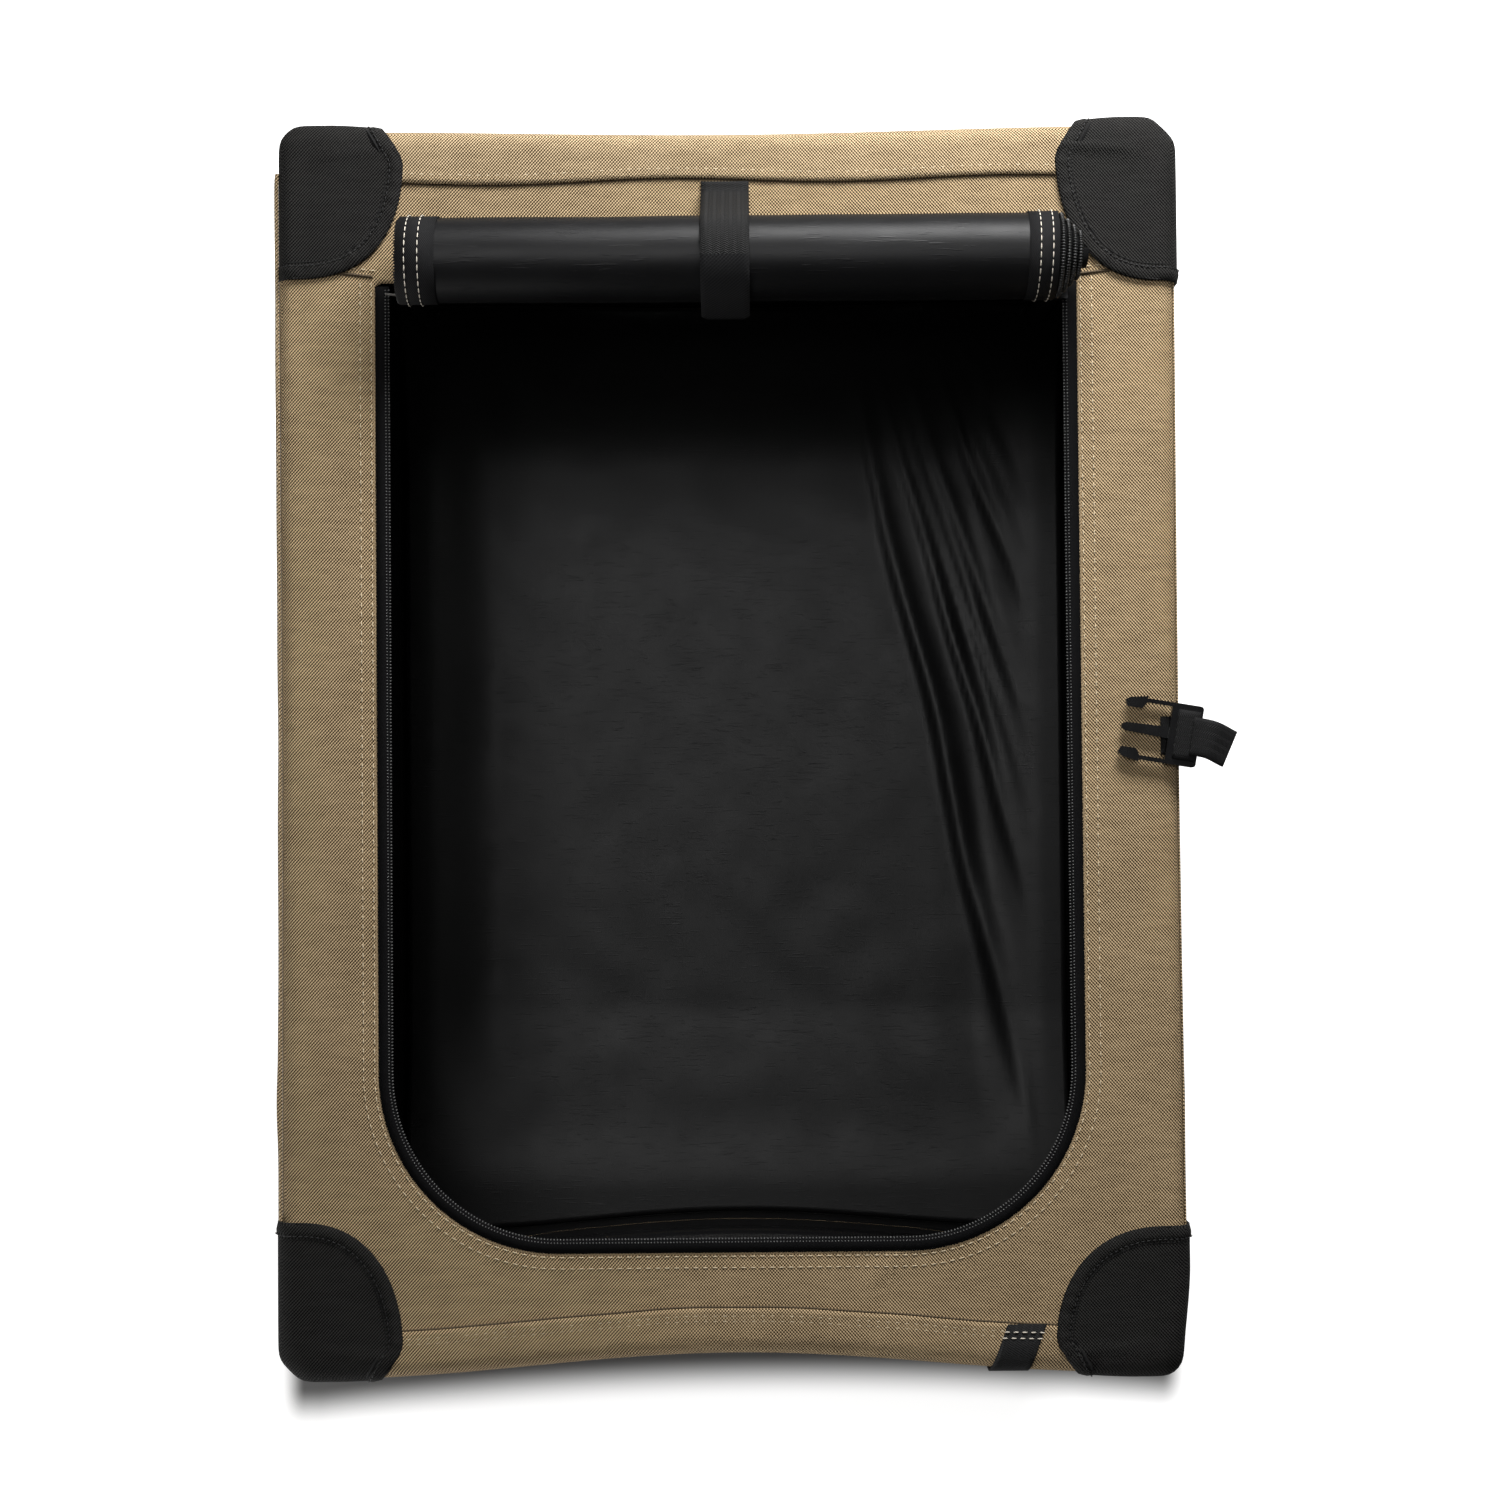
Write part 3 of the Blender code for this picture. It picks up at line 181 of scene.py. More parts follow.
def stations(skirt, edge_steps=8, skirt_steps=4):
    """Places from a skirt's hem up to the flat: inset, drop below the flat, and tilt."""
    low = [(0.0, skirt + (EDGE - skirt) * i / skirt_steps, 0.0) for i in range(skirt_steps)]
    return low + [(EDGE * (1 - math.cos(a)), EDGE * (1 - math.sin(a)), a)
                  for a in quarter_turn(edge_steps)]


RUN_RIGHT, RUN_REAR, RUN_LEFT = AROUND * 0.25, AROUND * 0.5, AROUND * 0.75
print(f"outline {AROUND:.3f} m round, {len(rim)} points")

# %% [markdown]
# ## Shader sums as Python
# A weave is arithmetic on the cloth's own UV, so a small class wraps a socket and turns
# Python's operators into Math nodes. Every other node comes from one method, `node`.


# %% Wires
class Wire:
    """A shader value that can be used in sums."""

    def __init__(self, finish, socket):
        self.finish, self.socket = finish, socket

    def math(self, operation, *others):
        return self.finish.node("ShaderNodeMath", {"operation": operation}, [self, *others])

    def clamped(self, low=0.0):
        return self.math("MINIMUM", 1.0).math("MAXIMUM", low)

    def __add__(self, other):
        return self.math("ADD", other)

    def __sub__(self, other):
        return self.math("SUBTRACT", other)

    def __rsub__(self, other):
        return self.math("MULTIPLY_ADD", -1.0, other)

    def __mul__(self, other):
        return self.math("MULTIPLY", other)

    def __truediv__(self, other):
        return self.math("DIVIDE", other)

    def __gt__(self, other):
        return self.math("GREATER_THAN", other)

    __radd__, __rmul__ = __add__, __mul__


print("shader sums ready")

# %% [markdown]
# A finish starts from its Principled shader. Its few tools cover what the cloths, tapes and
# hard pieces need: a place on the sheet, noise at a size in metres, a mix and a bump.


# %% Finishes
class Finish:
    """A material that is built from its Principled shader outwards."""

    def __init__(self, name, **constants):
        self.material = bpy.data.materials.new(name)
        self.material.use_nodes = True
        self.tree = self.material.node_tree
        self.shader = self.tree.nodes["Principled BSDF"]
        for label, value in constants.items():
            self.set(label.replace("_", " ").title().replace("Ior", "IOR"), value)

    def set(self, label, value):
        slot = self.shader.inputs[label]
        if isinstance(value, Wire):
            self.tree.links.new(value.socket, slot)
        elif isinstance(value, tuple):
            slot.default_value = (*value, 1.0)
        else:
            slot.default_value = value

    def node(self, kind, settings, values, output=0):
        """A node with its settings made first, then its sockets by number or by name."""
        made = self.tree.nodes.new(kind)
        for key, value in settings.items():
            setattr(made, key, value)
        pairs = values.items() if isinstance(values, dict) else enumerate(values)
        for key, value in pairs:
            slot = made.inputs[key]
            if isinstance(value, Wire):
                self.tree.links.new(value.socket, slot)
            else:
                slot.default_value = value
        return Wire(self, made.outputs[output])

    def place(self):
        """The two distances over the cloth, in metres, that its UV map holds."""
        where = self.node("ShaderNodeUVMap", {"uv_map": "UVMap"}, {})
        return [self.node("ShaderNodeSeparateXYZ", {}, [where], i) for i in (0, 1)]

    def here(self):
        return self.node("ShaderNodeTexCoord", {}, {}, "Object")

    def noise(self, where, size, detail=2.0, stretch=(1, 1, 1)):
        """Noise from 0 to 1 whose blots are about this size, in metres."""
        scaled = self.node("ShaderNodeVectorMath", {"operation": "MULTIPLY"}, [where, stretch])
        values = {"Vector": scaled, "Scale": 1 / size, "Detail": detail}
        return self.node("ShaderNodeTexNoise", {}, values)

    def mix(self, share, low, high):
        """Low colour where share is 0, high colour where it is 1."""
        settings = {"data_type": "RGBA"}
        colours = [c if isinstance(c, Wire) else (*c, 1.0) for c in (low, high)]
        return self.node("ShaderNodeMix", settings, {0: share, 6: colours[0], 7: colours[1]}, 2)

    def flat(self, u, v):
        return self.node("ShaderNodeCombineXYZ", {}, [u, v, 0.0])

    def bump(self, height, depth):
        values = {"Height": height, "Distance": depth, "Strength": 1.0}
        self.set("Normal", self.node("ShaderNodeBump", {}, values))


def shade(colour, factor):
    return tuple(c * factor for c in colour)


print("finish tools:", ", ".join(n for n in vars(Finish) if not n.startswith("_")))

# %% [markdown]
# ## Cloths
# The shell is a heavy plain weave: yarns about 0.9 mm apart that pass over and under
# each other. Two sine waves multiplied give its chequer of raised crossings. That chequer
# is the cloth's own pattern, but its gaps are coloured far darker than the yarn, which is
# painted shade between the yarns. A little large-scale noise keeps the cloth from looking
# printed. The black parts use the same weave.

# %% Woven cloth
YARN, WEFT_GAP = 0.00085, 1.1


def woven(name, dark, light, depth, roughness=0.82, sheen=0.0, specular=0.3, yarn=YARN):
    """Light crossings and dark gaps, whose diagonals lean away from the crate's middle. The gaps'
    deep dark is painted shade.
    """
    finish = Finish(name, roughness=roughness, sheen_weight=sheen, specular_ior_level=specular)
    u, v = finish.place()
    across, along = u * (math.pi / yarn), v * (math.pi / yarn / WEFT_GAP)
    lean = (u * 12.0).clamped(-1.0)
    slope = across.math("COSINE") * along.math("COSINE") * lean
    crossing = across.math("SINE") * along.math("SINE") * 1.15 - slope * 0.4 + 0.5
    crossing = crossing.clamped()
    slub = finish.noise(finish.flat(u, v), 0.004, 2.0, (0.25, 1, 1))
    blots = finish.noise(finish.flat(u, v), 0.06, 3.0)
    # The share mixes the yarn's colour with a dark that paints the shade in the gaps.
    share = (crossing * 0.95 + slub * 0.3 + blots * 0.2 - 0.22).clamped()
    finish.set("Base Color", finish.mix(share, dark, light))
    finish.bump(crossing + slub * 0.5, depth)
    return finish.material


tan_cloth = woven("tan_cloth", (0.035, 0.020, 0.007), (0.70, 0.515, 0.300), 0.00040, specular=0.2)
# The second tan is the same cloth made lighter, painted light, for the rear strip, the welts and
# the opening's edge.
tan_painted_light = woven("tan_painted_light", (0.050, 0.030, 0.011), (0.74, 0.555, 0.335), 0.00040, specular=0.2)
black_cloth = woven(
    "black_cloth", (0.0008, 0.0008, 0.0009), (0.037, 0.036, 0.034), 0.00045, specular=0.14)
print("cloths:", tan_cloth.name, tan_painted_light.name, black_cloth.name)

# %% [markdown]
# ## Satin lining
# The lining is a smooth coated cloth. It is nearly black, shines softly, and has fine slubs,
# which are thicker bits of yarn that run across the crate.


# %% Lining
FINE_YARN = 0.00035


def lining_finish(name, colour, roughness, specular):
    finish = Finish(name, roughness=roughness, specular_ior_level=specular)
    u, v = finish.place()
    where = finish.flat(u, v)
    slub = finish.noise(where, 0.0011, 2.0, (0.06, 1, 1))
    rare = finish.noise(where, 0.006, 2.0, (0.3, 1, 1))
    raised = ((slub - 0.58) * 9.0).clamped() * (rare > 0.48)
    grain = (u * (math.pi / FINE_YARN)).math("SINE") * (v * (math.pi / FINE_YARN)).math("SINE")
    cloudy = finish.noise(where, 0.03, 3.0)
    finish.set("Base Color", finish.mix(cloudy, shade(colour, 0.75), shade(colour, 1.25)))
    finish.set("Roughness", cloudy * 0.12 + roughness - raised * 0.05)
    finish.bump(raised * 0.5 + grain * 0.12 + cloudy * 0.3, 0.00012)
    return finish.material


lining = lining_finish("lining", (0.0075, 0.0075, 0.0078), 0.42, 0.42)
roll_satin = lining_finish("roll_satin", (0.0045, 0.0045, 0.005), 0.38, 0.22)
print("linings:", lining.name, roll_satin.name)

# %% [markdown]
# ## Webbing, thread, net and hard pieces
# Webbing is a herringbone: its ribs slant one way and then the other across the width, so
# the slant follows a folded copy of the cross distance. The net is a sheet whose Alpha is
# a grid of round holes, which costs no geometry. Thread, coil and moulded nylon are plain
# shiny or matt finishes with a little noise.


# %% Webbing
WEB, STRAP = 0.0203, 0.0254
RIB_PITCH = 0.0011


def webbing_finish(name, colour, ribs, width):
    finish = Finish(name, roughness=0.72, specular_ior_level=0.25)
    u, v = finish.place()
    folded = ((v * (ribs / width)).math("FRACT") - 0.5).math("ABSOLUTE")
    rib = ((u / RIB_PITCH + folded * 2.2) * (2 * math.pi)).math("SINE") * 0.5 + 0.5
    valley = (folded > 0.44) + (0.06 - folded > 0.0)
    fuzz = finish.noise(finish.flat(u, v), 0.0009)
    # The ribs are the webbing's own pattern; the darker valleys where the slant turns are painted
    # shade.
    share = (rib * 0.7 + fuzz * 0.4 - valley * 0.35).clamped()
    finish.set("Base Color", finish.mix(share, shade(colour, 0.35), colour))
    finish.bump(rib - valley * 0.5, 0.00025)
    return finish.material


webbing = webbing_finish("webbing", (0.014, 0.014, 0.0145), 5, WEB)
strap_webbing = webbing_finish("strap_webbing", (0.013, 0.013, 0.0132), 6, STRAP)
hook_tape = woven(
    "hook_tape", (0.004, 0.004, 0.0045), (0.014, 0.014, 0.015), 0.0001, 0.9, 0.05, 0.2, 0.0009)
print("bands:", webbing.name, strap_webbing.name, hook_tape.name)


# %% Thread, coil and tape
def plain(name, colour, roughness, metallic=0.0, grain=0.0004, depth=0.00001, **more):
    """A plain finish whose roughness wanders a little, with a fine grain."""
    finish = Finish(name, base_color=colour, metallic=metallic, **more)
    speck = finish.noise(finish.here(), grain)
    wear = finish.noise(finish.here(), 0.012)
    finish.set("Roughness", wear * 0.16 + speck * 0.06 + (roughness - 0.11))
    finish.set("Base Color", finish.mix(wear, shade(colour, 0.85), shade(colour, 1.15)))
    finish.bump(speck, depth)
    return finish.material


white_thread = plain("white_thread", (0.74, 0.68, 0.58), 0.6)
tan_thread = plain("tan_thread", (0.64, 0.53, 0.36), 0.6)
black_thread = plain("black_thread", (0.007, 0.007, 0.0075), 0.6)
# This near-black paints the shade in the patch hems' grooves.
groove_shade = plain("groove_shade", (0.0015, 0.0015, 0.0015), 0.95)
# The coil is black nylon; the grey of this finish is a painted glint on its teeth.
zip_coil = plain("zip_coil", (0.11, 0.11, 0.108), 0.24)
# The wound coil on the roll keeps the teeth's own near-black.
dark_coil = plain("dark_coil", (0.022, 0.022, 0.0215), 0.26)
grey_thread = plain("grey_thread", (0.26, 0.25, 0.23), 0.5)
# This dark brown paints the shadow along the roof's seams.
seam_shade = plain("seam_shade", (0.075, 0.052, 0.028), 0.9)
nylon = plain(
    "nylon", (0.004, 0.004, 0.0045), 0.26, grain=0.0006, depth=0.00003, specular_ior_level=0.3)
black_zinc = plain("black_zinc", (0.12, 0.12, 0.125), 0.35, 1.0)
bright_zinc = plain("bright_zinc", (0.78, 0.78, 0.76), 0.3, 0.8)
steel = plain(
    "powder_coat", (0.016, 0.016, 0.017), 0.42, grain=0.0007, depth=0.00004, coat_weight=0.1)
fibreboard = plain("fibreboard", (0.05, 0.048, 0.045), 0.8, grain=0.001, depth=0.00005)
zip_tape = woven("zip_tape", (0.0012, 0.0012, 0.0014), (0.006, 0.006, 0.0066), 0.0001, 0.8,
                 specular=0.12, yarn=0.0004)
binding = woven("binding", (0.0025, 0.0025, 0.003), (0.015, 0.015, 0.016), 0.00014, 0.75,
                specular=0.18, yarn=0.0005)
print("hard pieces:", nylon.name, black_zinc.name, bright_zinc.name, steel.name)


# %% Net
MESH_PITCH, MESH_ROW, MESH_HOLE = 0.0021, 0.0021 * 0.87, 0.22


def net_finish(name):
    """Round holes in rows that are set off by half a hole."""
    finish = Finish(name, base_color=(0.012, 0.012, 0.013), roughness=0.7)
    u, v = finish.place()
    row = (v / MESH_ROW).math("FLOOR")
    across = (u / MESH_PITCH + row * 0.5).math("FRACT") - 0.5
    along = (v / MESH_ROW).math("FRACT") - 0.5
    reach = (across * across + along * along * 0.8).math("SQRT")
    finish.set("Alpha", reach > MESH_HOLE)
    finish.bump(reach.math("MINIMUM", 0.5), 0.0002)
    return finish.material


net = net_finish("net")
print("finishes:", len(bpy.data.materials))


# %% [markdown]
# ## Making sheets
# Cloth pieces are lofts: rows of points joined by quads, then given their thickness by
# Solidify, with the lining's material on the inner side. The UV map is laid in metres, by
# the axis that each face looks along, so that a weave keeps its size on every piece.


# %% Lofts and UVs
def mesh_object(name, mesh):
    made = bpy.data.objects.new(name, mesh)
    bpy.context.scene.collection.objects.link(made)
    return made


def lay_uv(mesh, uvs=None):
    """The given places for the weave, or the two axes that a face looks across."""
    layer = mesh.uv_layers.new(name="UVMap")
    for face in mesh.polygons:
        n = [abs(c) for c in face.normal]
        axes = (0, 1) if n[2] >= max(n[0], n[1]) else ((1, 2) if n[0] > n[1] else (0, 2))
        for loop in face.loop_indices:
            vertex = mesh.loops[loop].vertex_index
            place = mesh.vertices[vertex].co
            layer.data[loop].uv = uvs[vertex] if uvs else (place[axes[0]], place[axes[1]])


def loft(name, rows, cyclic=False, cap=False, uvs=None, flip=False):
    """Quads between rows of equally many points. The faces look along across x up."""
    bm = bmesh.new()
    grid = [[bm.verts.new(p) for p in row] for row in rows]
    for low, high in zip(grid, grid[1:]):
        for i in range(len(low) if cyclic else len(low) - 1):
            j = (i + 1) % len(low)
            corners = (low[i], low[j], high[j], high[i])
            bm.faces.new(corners[::-1] if flip else corners)
    if cap:
        bm.faces.new(grid[0][::-1])
    mesh = bpy.data.meshes.new(name)
    bm.to_mesh(mesh)
    bm.free()
    lay_uv(mesh, uvs)
    mesh.shade_smooth()
    return mesh_object(name, mesh)


print("lofts ready")

# %% [markdown]
# Each finished piece rides on a body, and the packed pieces it stands for are hidden. A
# sheet's cut area is worked out too, though it is not kept.


# %% Thickness, bodies and flat sizes
def thicken(piece, thickness, outer, inner=None, offset=-1.0):
    piece.data.materials.append(outer)
    if inner:
        piece.data.materials.append(inner)
    solidify = piece.modifiers.new("Thickness", "SOLIDIFY")
    solidify.thickness = thickness
    solidify.offset = offset
    solidify.use_even_offset = True
    solidify.material_offset = 1 if inner else 0
    return piece


def area_of(piece):
    return sum(face.area for face in piece.data.polygons)


def sew_on(piece, body, slot, *nodes):
    """The piece rides on a body and stands for CAD nodes, which it hides. Its slot is not used."""
    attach(piece, body)
    if nodes:
        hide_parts(*nodes)
    return piece


LEAST_CUT = 0.31


def declare(piece, width, length, held, rests_on, trims=()):
    """Works out the area of the sheet's cut, which is not kept. A cut with a hole or round corners
    gives its area.
    """
    area = min(max(area_of(piece), LEAST_CUT * width * length), width * length)


def ripple(x, y, z, size, seed=0.0):
    return noise.noise(Vector((x / size + seed, y / size - seed, z / size + 2 * seed)))


print("sheet tools ready")

# %% [markdown]
# ## Stitches and zip teeth with Geometry Nodes
# A row of stitches is one short thread, repeated along a seam, and a zip's coil is one
# tooth repeated along its tape. That is a rule, so a small node tree makes both: it puts
# points along a curve, turns an instance to face along it or across it, and realises them.


# %% The row tree
def row_tree():
    tree = bpy.data.node_groups.new("row_along_a_seam", "GeometryNodeTree")
    face = tree.interface
    face.new_socket("Geometry", in_out="OUTPUT", socket_type="NodeSocketGeometry")
    face.new_socket("Geometry", in_out="INPUT", socket_type="NodeSocketGeometry")
    for label in ("Pitch", "Long", "Wide", "High"):
        face.new_socket(label, in_out="INPUT", socket_type="NodeSocketFloat")
    face.new_socket("Facing", in_out="INPUT", socket_type="NodeSocketVector")
    face.new_socket("Across", in_out="INPUT", socket_type="NodeSocketBool")
    face.new_socket("Slant", in_out="INPUT", socket_type="NodeSocketFloat")
    face.new_socket("Material", in_out="INPUT", socket_type="NodeSocketMaterial")
    add, link = tree.nodes.new, tree.links.new
    given, out = add("NodeGroupInput"), add("NodeGroupOutput")
    points = add("GeometryNodeCurveToPoints")
    points.mode = "LENGTH"
    link(given.outputs["Geometry"], points.inputs["Curve"])
    link(given.outputs["Pitch"], points.inputs["Length"])
    bead = add("GeometryNodeMeshUVSphere")
    bead.inputs["Segments"].default_value = 6
    bead.inputs["Rings"].default_value = 5
    bead.inputs["Radius"].default_value = 0.5
    size = add("ShaderNodeCombineXYZ")
    for axis, label in zip("XYZ", ("Long", "Wide", "High")):
        link(given.outputs[label], size.inputs[axis])
    along = add("FunctionNodeAlignRotationToVector")
    along.axis = "X"
    link(points.outputs["Tangent"], along.inputs["Vector"])
    flat = add("FunctionNodeAlignRotationToVector")
    flat.axis = "Z"
    flat.pivot_axis = "X"
    link(along.outputs["Rotation"], flat.inputs["Rotation"])
    link(given.outputs["Facing"], flat.inputs["Vector"])
    turn = add("FunctionNodeRotateRotation")
    turn.rotation_space = "LOCAL"
    link(flat.outputs["Rotation"], turn.inputs["Rotation"])
    angle = add("FunctionNodeAxisAngleToRotation")
    angle.inputs["Axis"].default_value = (0, 0, 1)
    link(given.outputs["Slant"], angle.inputs["Angle"])
    link(angle.outputs["Rotation"], turn.inputs["Rotate By"])
    copies = add("GeometryNodeInstanceOnPoints")
    link(points.outputs["Points"], copies.inputs["Points"])
    link(bead.outputs["Mesh"], copies.inputs["Instance"])
    link(turn.outputs["Rotation"], copies.inputs["Rotation"])
    link(size.outputs["Vector"], copies.inputs["Scale"])
    real = add("GeometryNodeRealizeInstances")
    link(copies.outputs["Instances"], real.inputs["Geometry"])
    painted = add("GeometryNodeSetMaterial")
    link(real.outputs["Geometry"], painted.inputs["Geometry"])
    link(given.outputs["Material"], painted.inputs["Material"])
    link(painted.outputs["Geometry"], out.inputs["Geometry"])
    return tree


ROW_TREE = row_tree()
print("row tree:", len(ROW_TREE.nodes), "nodes")


# %% Rows along paths
def line_object(name, paths):
    curve = bpy.data.curves.new(name, "CURVE")
    curve.dimensions = "3D"
    for path in paths:
        spline = curve.splines.new("POLY")
        spline.points.add(len(path) - 1)
        spline.points.foreach_set("co", [c for p in path for c in (*p, 1.0)])
    return mesh_object(name + "_seam", curve)


def mesh_from(line):
    """The plain mesh that a line's bevel or modifier makes, in place of the line."""
    shown = line.evaluated_get(bpy.context.evaluated_depsgraph_get())
    mesh = bpy.data.meshes.new_from_object(shown)
    bpy.data.objects.remove(line)
    mesh.shade_smooth()
    return mesh


def row_along(name, paths, pitch, size, material, facing=(0, 0, 1), slant=0.0):
    """One plain mesh of beads along several paths, each a list of points."""
    seam = line_object(name, paths)
    modifier = seam.modifiers.new("Row", "NODES")
    modifier.node_group = ROW_TREE
    given = {"Pitch": pitch, "Long": size[0], "Wide": size[1], "High": size[2],
             "Facing": facing, "Slant": slant, "Material": material}
    for socket in ROW_TREE.interface.items_tree:
        if socket.in_out == "INPUT" and socket.name in given:
            modifier[socket.identifier] = given[socket.name]
    bpy.context.view_layer.update()
    mesh = mesh_from(seam)
    mesh.name = name
    return mesh_object(name, mesh)


# Each seam's stitches: their pitch, how long one shows, and the thread's width.
SEAMS = {"topstitch": (0.0050, 0.0034, 0.00065), "patch": (0.0030, 0.0025, 0.0007),
         "welt": (0.0036, 0.0027, 0.0005), "tape": (0.0030, 0.0024, 0.0006),
         "roll": (0.0042, 0.0036, 0.00066), "window": (0.0036, 0.0028, 0.0006),
         "tab": (0.0042, 0.0032, 0.0008)}
TOOTH, TOOTH_LEAN = (0.0010, 0.0020), 0.25
TEETH_PITCH, TEETH_WIDE = 0.00148, 0.0032


def stitches(name, paths, material, body, slot, seam):
    pitch, long, thread = SEAMS[seam]
    row = row_along(name, paths, pitch, (long, thread, thread * 0.8), material)
    return sew_on(row, body, slot)


def teeth(name, paths, body, facing=(0, 0, 1), pitch=TEETH_PITCH, across=TEETH_WIDE):
    size = TOOTH[0], across, TOOTH[1]
    row = row_along(name, paths, pitch, size, zip_coil, facing, TOOTH_LEAN)
    return sew_on(row, body, "zip_coil")


def straight(a, b, step=0.01):
    a, b = Vector(a), Vector(b)
    count = max(int((b - a).length / step), 1)
    return [tuple(a.lerp(b, i / count)) for i in range(count + 1)]


print("seams:", ", ".join(SEAMS))

# %% [markdown]
# ## Camera, light and floor
# The picture is taken straight down on the roof from about a metre and a quarter, tilted a
# little so that the front end is nearer. A low softbox close behind the rear right corner
# makes the light fall off over the roof. A higher one throws the short shadow in front,
# and a third, below the roof's level, fills the walls. The floor is pale, and its own glow
# to the camera alone keeps it white while it still takes the shadow. It doesn't glow under
# the crate and close to its front, and there, where the shadow falls, its colour is
# darkened as a painted shadow.

# %% Camera
DISTANCE, HALF_VIEW, HALF_SENSOR = 1.24, 0.3966, 18
TILT, ROLL = math.radians(1.4), math.radians(-0.5)
aim = Vector((0.0108, -0.0012, HEIGHT))
camera_data = bpy.data.cameras.new("camera")
camera_data.lens = HALF_SENSOR / (HALF_VIEW / DISTANCE)
camera = bpy.data.objects.new("camera", camera_data)
bpy.context.scene.collection.objects.link(camera)
camera.location = aim + DISTANCE * Vector((0, -math.sin(TILT), math.cos(TILT)))
camera.rotation_euler = (Matrix.Rotation(TILT, 3, "X") @ Matrix.Rotation(ROLL, 3, "Z")).to_euler()
bpy.context.scene.camera = camera
print(f"lens {camera_data.lens:.1f} mm")


# %% Lamps and sky
def lamp(name, place, towards, size, power):
    data = bpy.data.lights.new(name, "AREA")
    data.shape = "RECTANGLE"
    data.size, data.size_y = size
    data.energy = power
    made = bpy.data.objects.new(name, data)
    bpy.context.scene.collection.objects.link(made)
    made.location = place
    made.rotation_euler = (Vector(towards) - Vector(place)).to_track_quat("-Z", "Y").to_euler()
    made.visible_camera = False


lamp("rear_key", (0.26, 1.00, 0.95), (0, 0.05, HEIGHT), (0.6, 0.4), 18.5)
lamp("high_softbox", (-0.20, 0.35, 2.46), (0, 0, 0.3), (0.5, 0.5), 12)
lamp("wall_fill", (-1.30, -1.50, 0.30), (0, 0, 0.2), (0.9, 0.25), 16)

SKY_LIGHT, SKY_SEEN = 0.07, 1.0
world = bpy.data.worlds.new("studio")
bpy.context.scene.world = world
world.use_nodes = True
sky, join = world.node_tree.nodes, world.node_tree.links.new
path = sky.new("ShaderNodeLightPath")
seen = sky.new("ShaderNodeMath")
seen.operation = "MAXIMUM"
join(path.outputs["Is Camera Ray"], seen.inputs[0])
join(path.outputs["Is Transmission Ray"], seen.inputs[1])
level = sky.new("ShaderNodeMapRange")
join(seen.outputs[0], level.inputs["Value"])
level.inputs["To Min"].default_value = SKY_LIGHT
level.inputs["To Max"].default_value = SKY_SEEN
sky["Background"].inputs["Color"].default_value = (1, 1, 1, 1)
join(level.outputs["Result"], sky["Background"].inputs["Strength"])
print("sky:", SKY_LIGHT, "as light,", SKY_SEEN, "as seen")

# %% [markdown]
# The floor's mask is a product of soft steps along and across it, and it paints the shape of
# the shadow. Inside the mask the paper doesn't glow, so that the crate's own shadow shows
# there, and near the crate the paper's colour is darkened as a painted shadow.


# %% Floor
FLOOR_REACH, FLOOR_GLOW, FLOOR_PAPER = 6, 0.80, (0.92, 0.92, 0.92)
floor = loft("studio_floor", [[(x, y, 0.0) for x in (-FLOOR_REACH, FLOOR_REACH)]
                              for y in (-FLOOR_REACH, FLOOR_REACH)])
paper = Finish("floor_paper", base_color=FLOOR_PAPER, roughness=0.9, emission_strength=FLOOR_GLOW)
ray = paper.node("ShaderNodeLightPath", {}, {}, "Is Camera Ray")
across, along = (paper.node("ShaderNodeSeparateXYZ", {}, [paper.here()], i) for i in (0, 1))


def soft_step(value, low, high):
    """0 below the low end of a value, 1 above the high one, and smooth between."""
    share = ((value - low) * (1 / (high - low))).clamped()
    return share * share * (3.0 - share * 2.0)


# The painted shadow's soft ends in metres. It follows the front edge, which is drawn in at
# its middle and lies a little aslant, and its core near the crate is painted darker still.
SHADE_FRONT, SHADE_SIDE, SHADE_REAR = (-0.4742, -0.4422), (0.308, 0.328), (0.2, 0.3)
SHADE_CORE, PAINTED_SHADOW_DEPTH, DRAWN_IN, ASLANT = (-0.36, -0.30), 0.74, 0.0175, 0.011
middle = 1.0 - (across * across * 11.0).math("MINIMUM", 1.0)
painted_shadow_mask = soft_step(along - middle * DRAWN_IN - across * ASLANT, *SHADE_FRONT)
painted_shadow_mask = painted_shadow_mask * (1.0 - soft_step((across + 0.005).math("ABSOLUTE"), *SHADE_SIDE))
painted_shadow_mask = painted_shadow_mask * (1.0 - soft_step(along, *SHADE_REAR))
painted_shadow_core = painted_shadow_mask * (1.0 - soft_step(along, *SHADE_CORE))
# Painted shadow: the paper's colour goes towards black in the core.
paper.set("Base Color", paper.mix(painted_shadow_core * PAINTED_SHADOW_DEPTH, FLOOR_PAPER, (0, 0, 0)))
# The glow is taken away inside the mask, so that the lamps' shadow shows in its painted shape.
paper.set("Emission Color", paper.mix(ray * (1.0 - painted_shadow_mask), (0, 0, 0), (1, 1, 1)))
floor.data.materials.append(paper.material)
floor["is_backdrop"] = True
bpy.context.scene.view_settings.view_transform = "Standard"
print("studio ready")

# %% [markdown]
# ## The roof
# The roof is one tray of cloth: a flat top with the door's U-shaped opening, a rounded
# edge over the top rim, and a skirt where the walls are sewn on. It is lofted from rings.
# Small waves along the seams and a few slow ones over the flat keep it cloth.


# %% Door opening
REAR_CORNER = 0.004
CREASE_AT = 0.078, -0.276


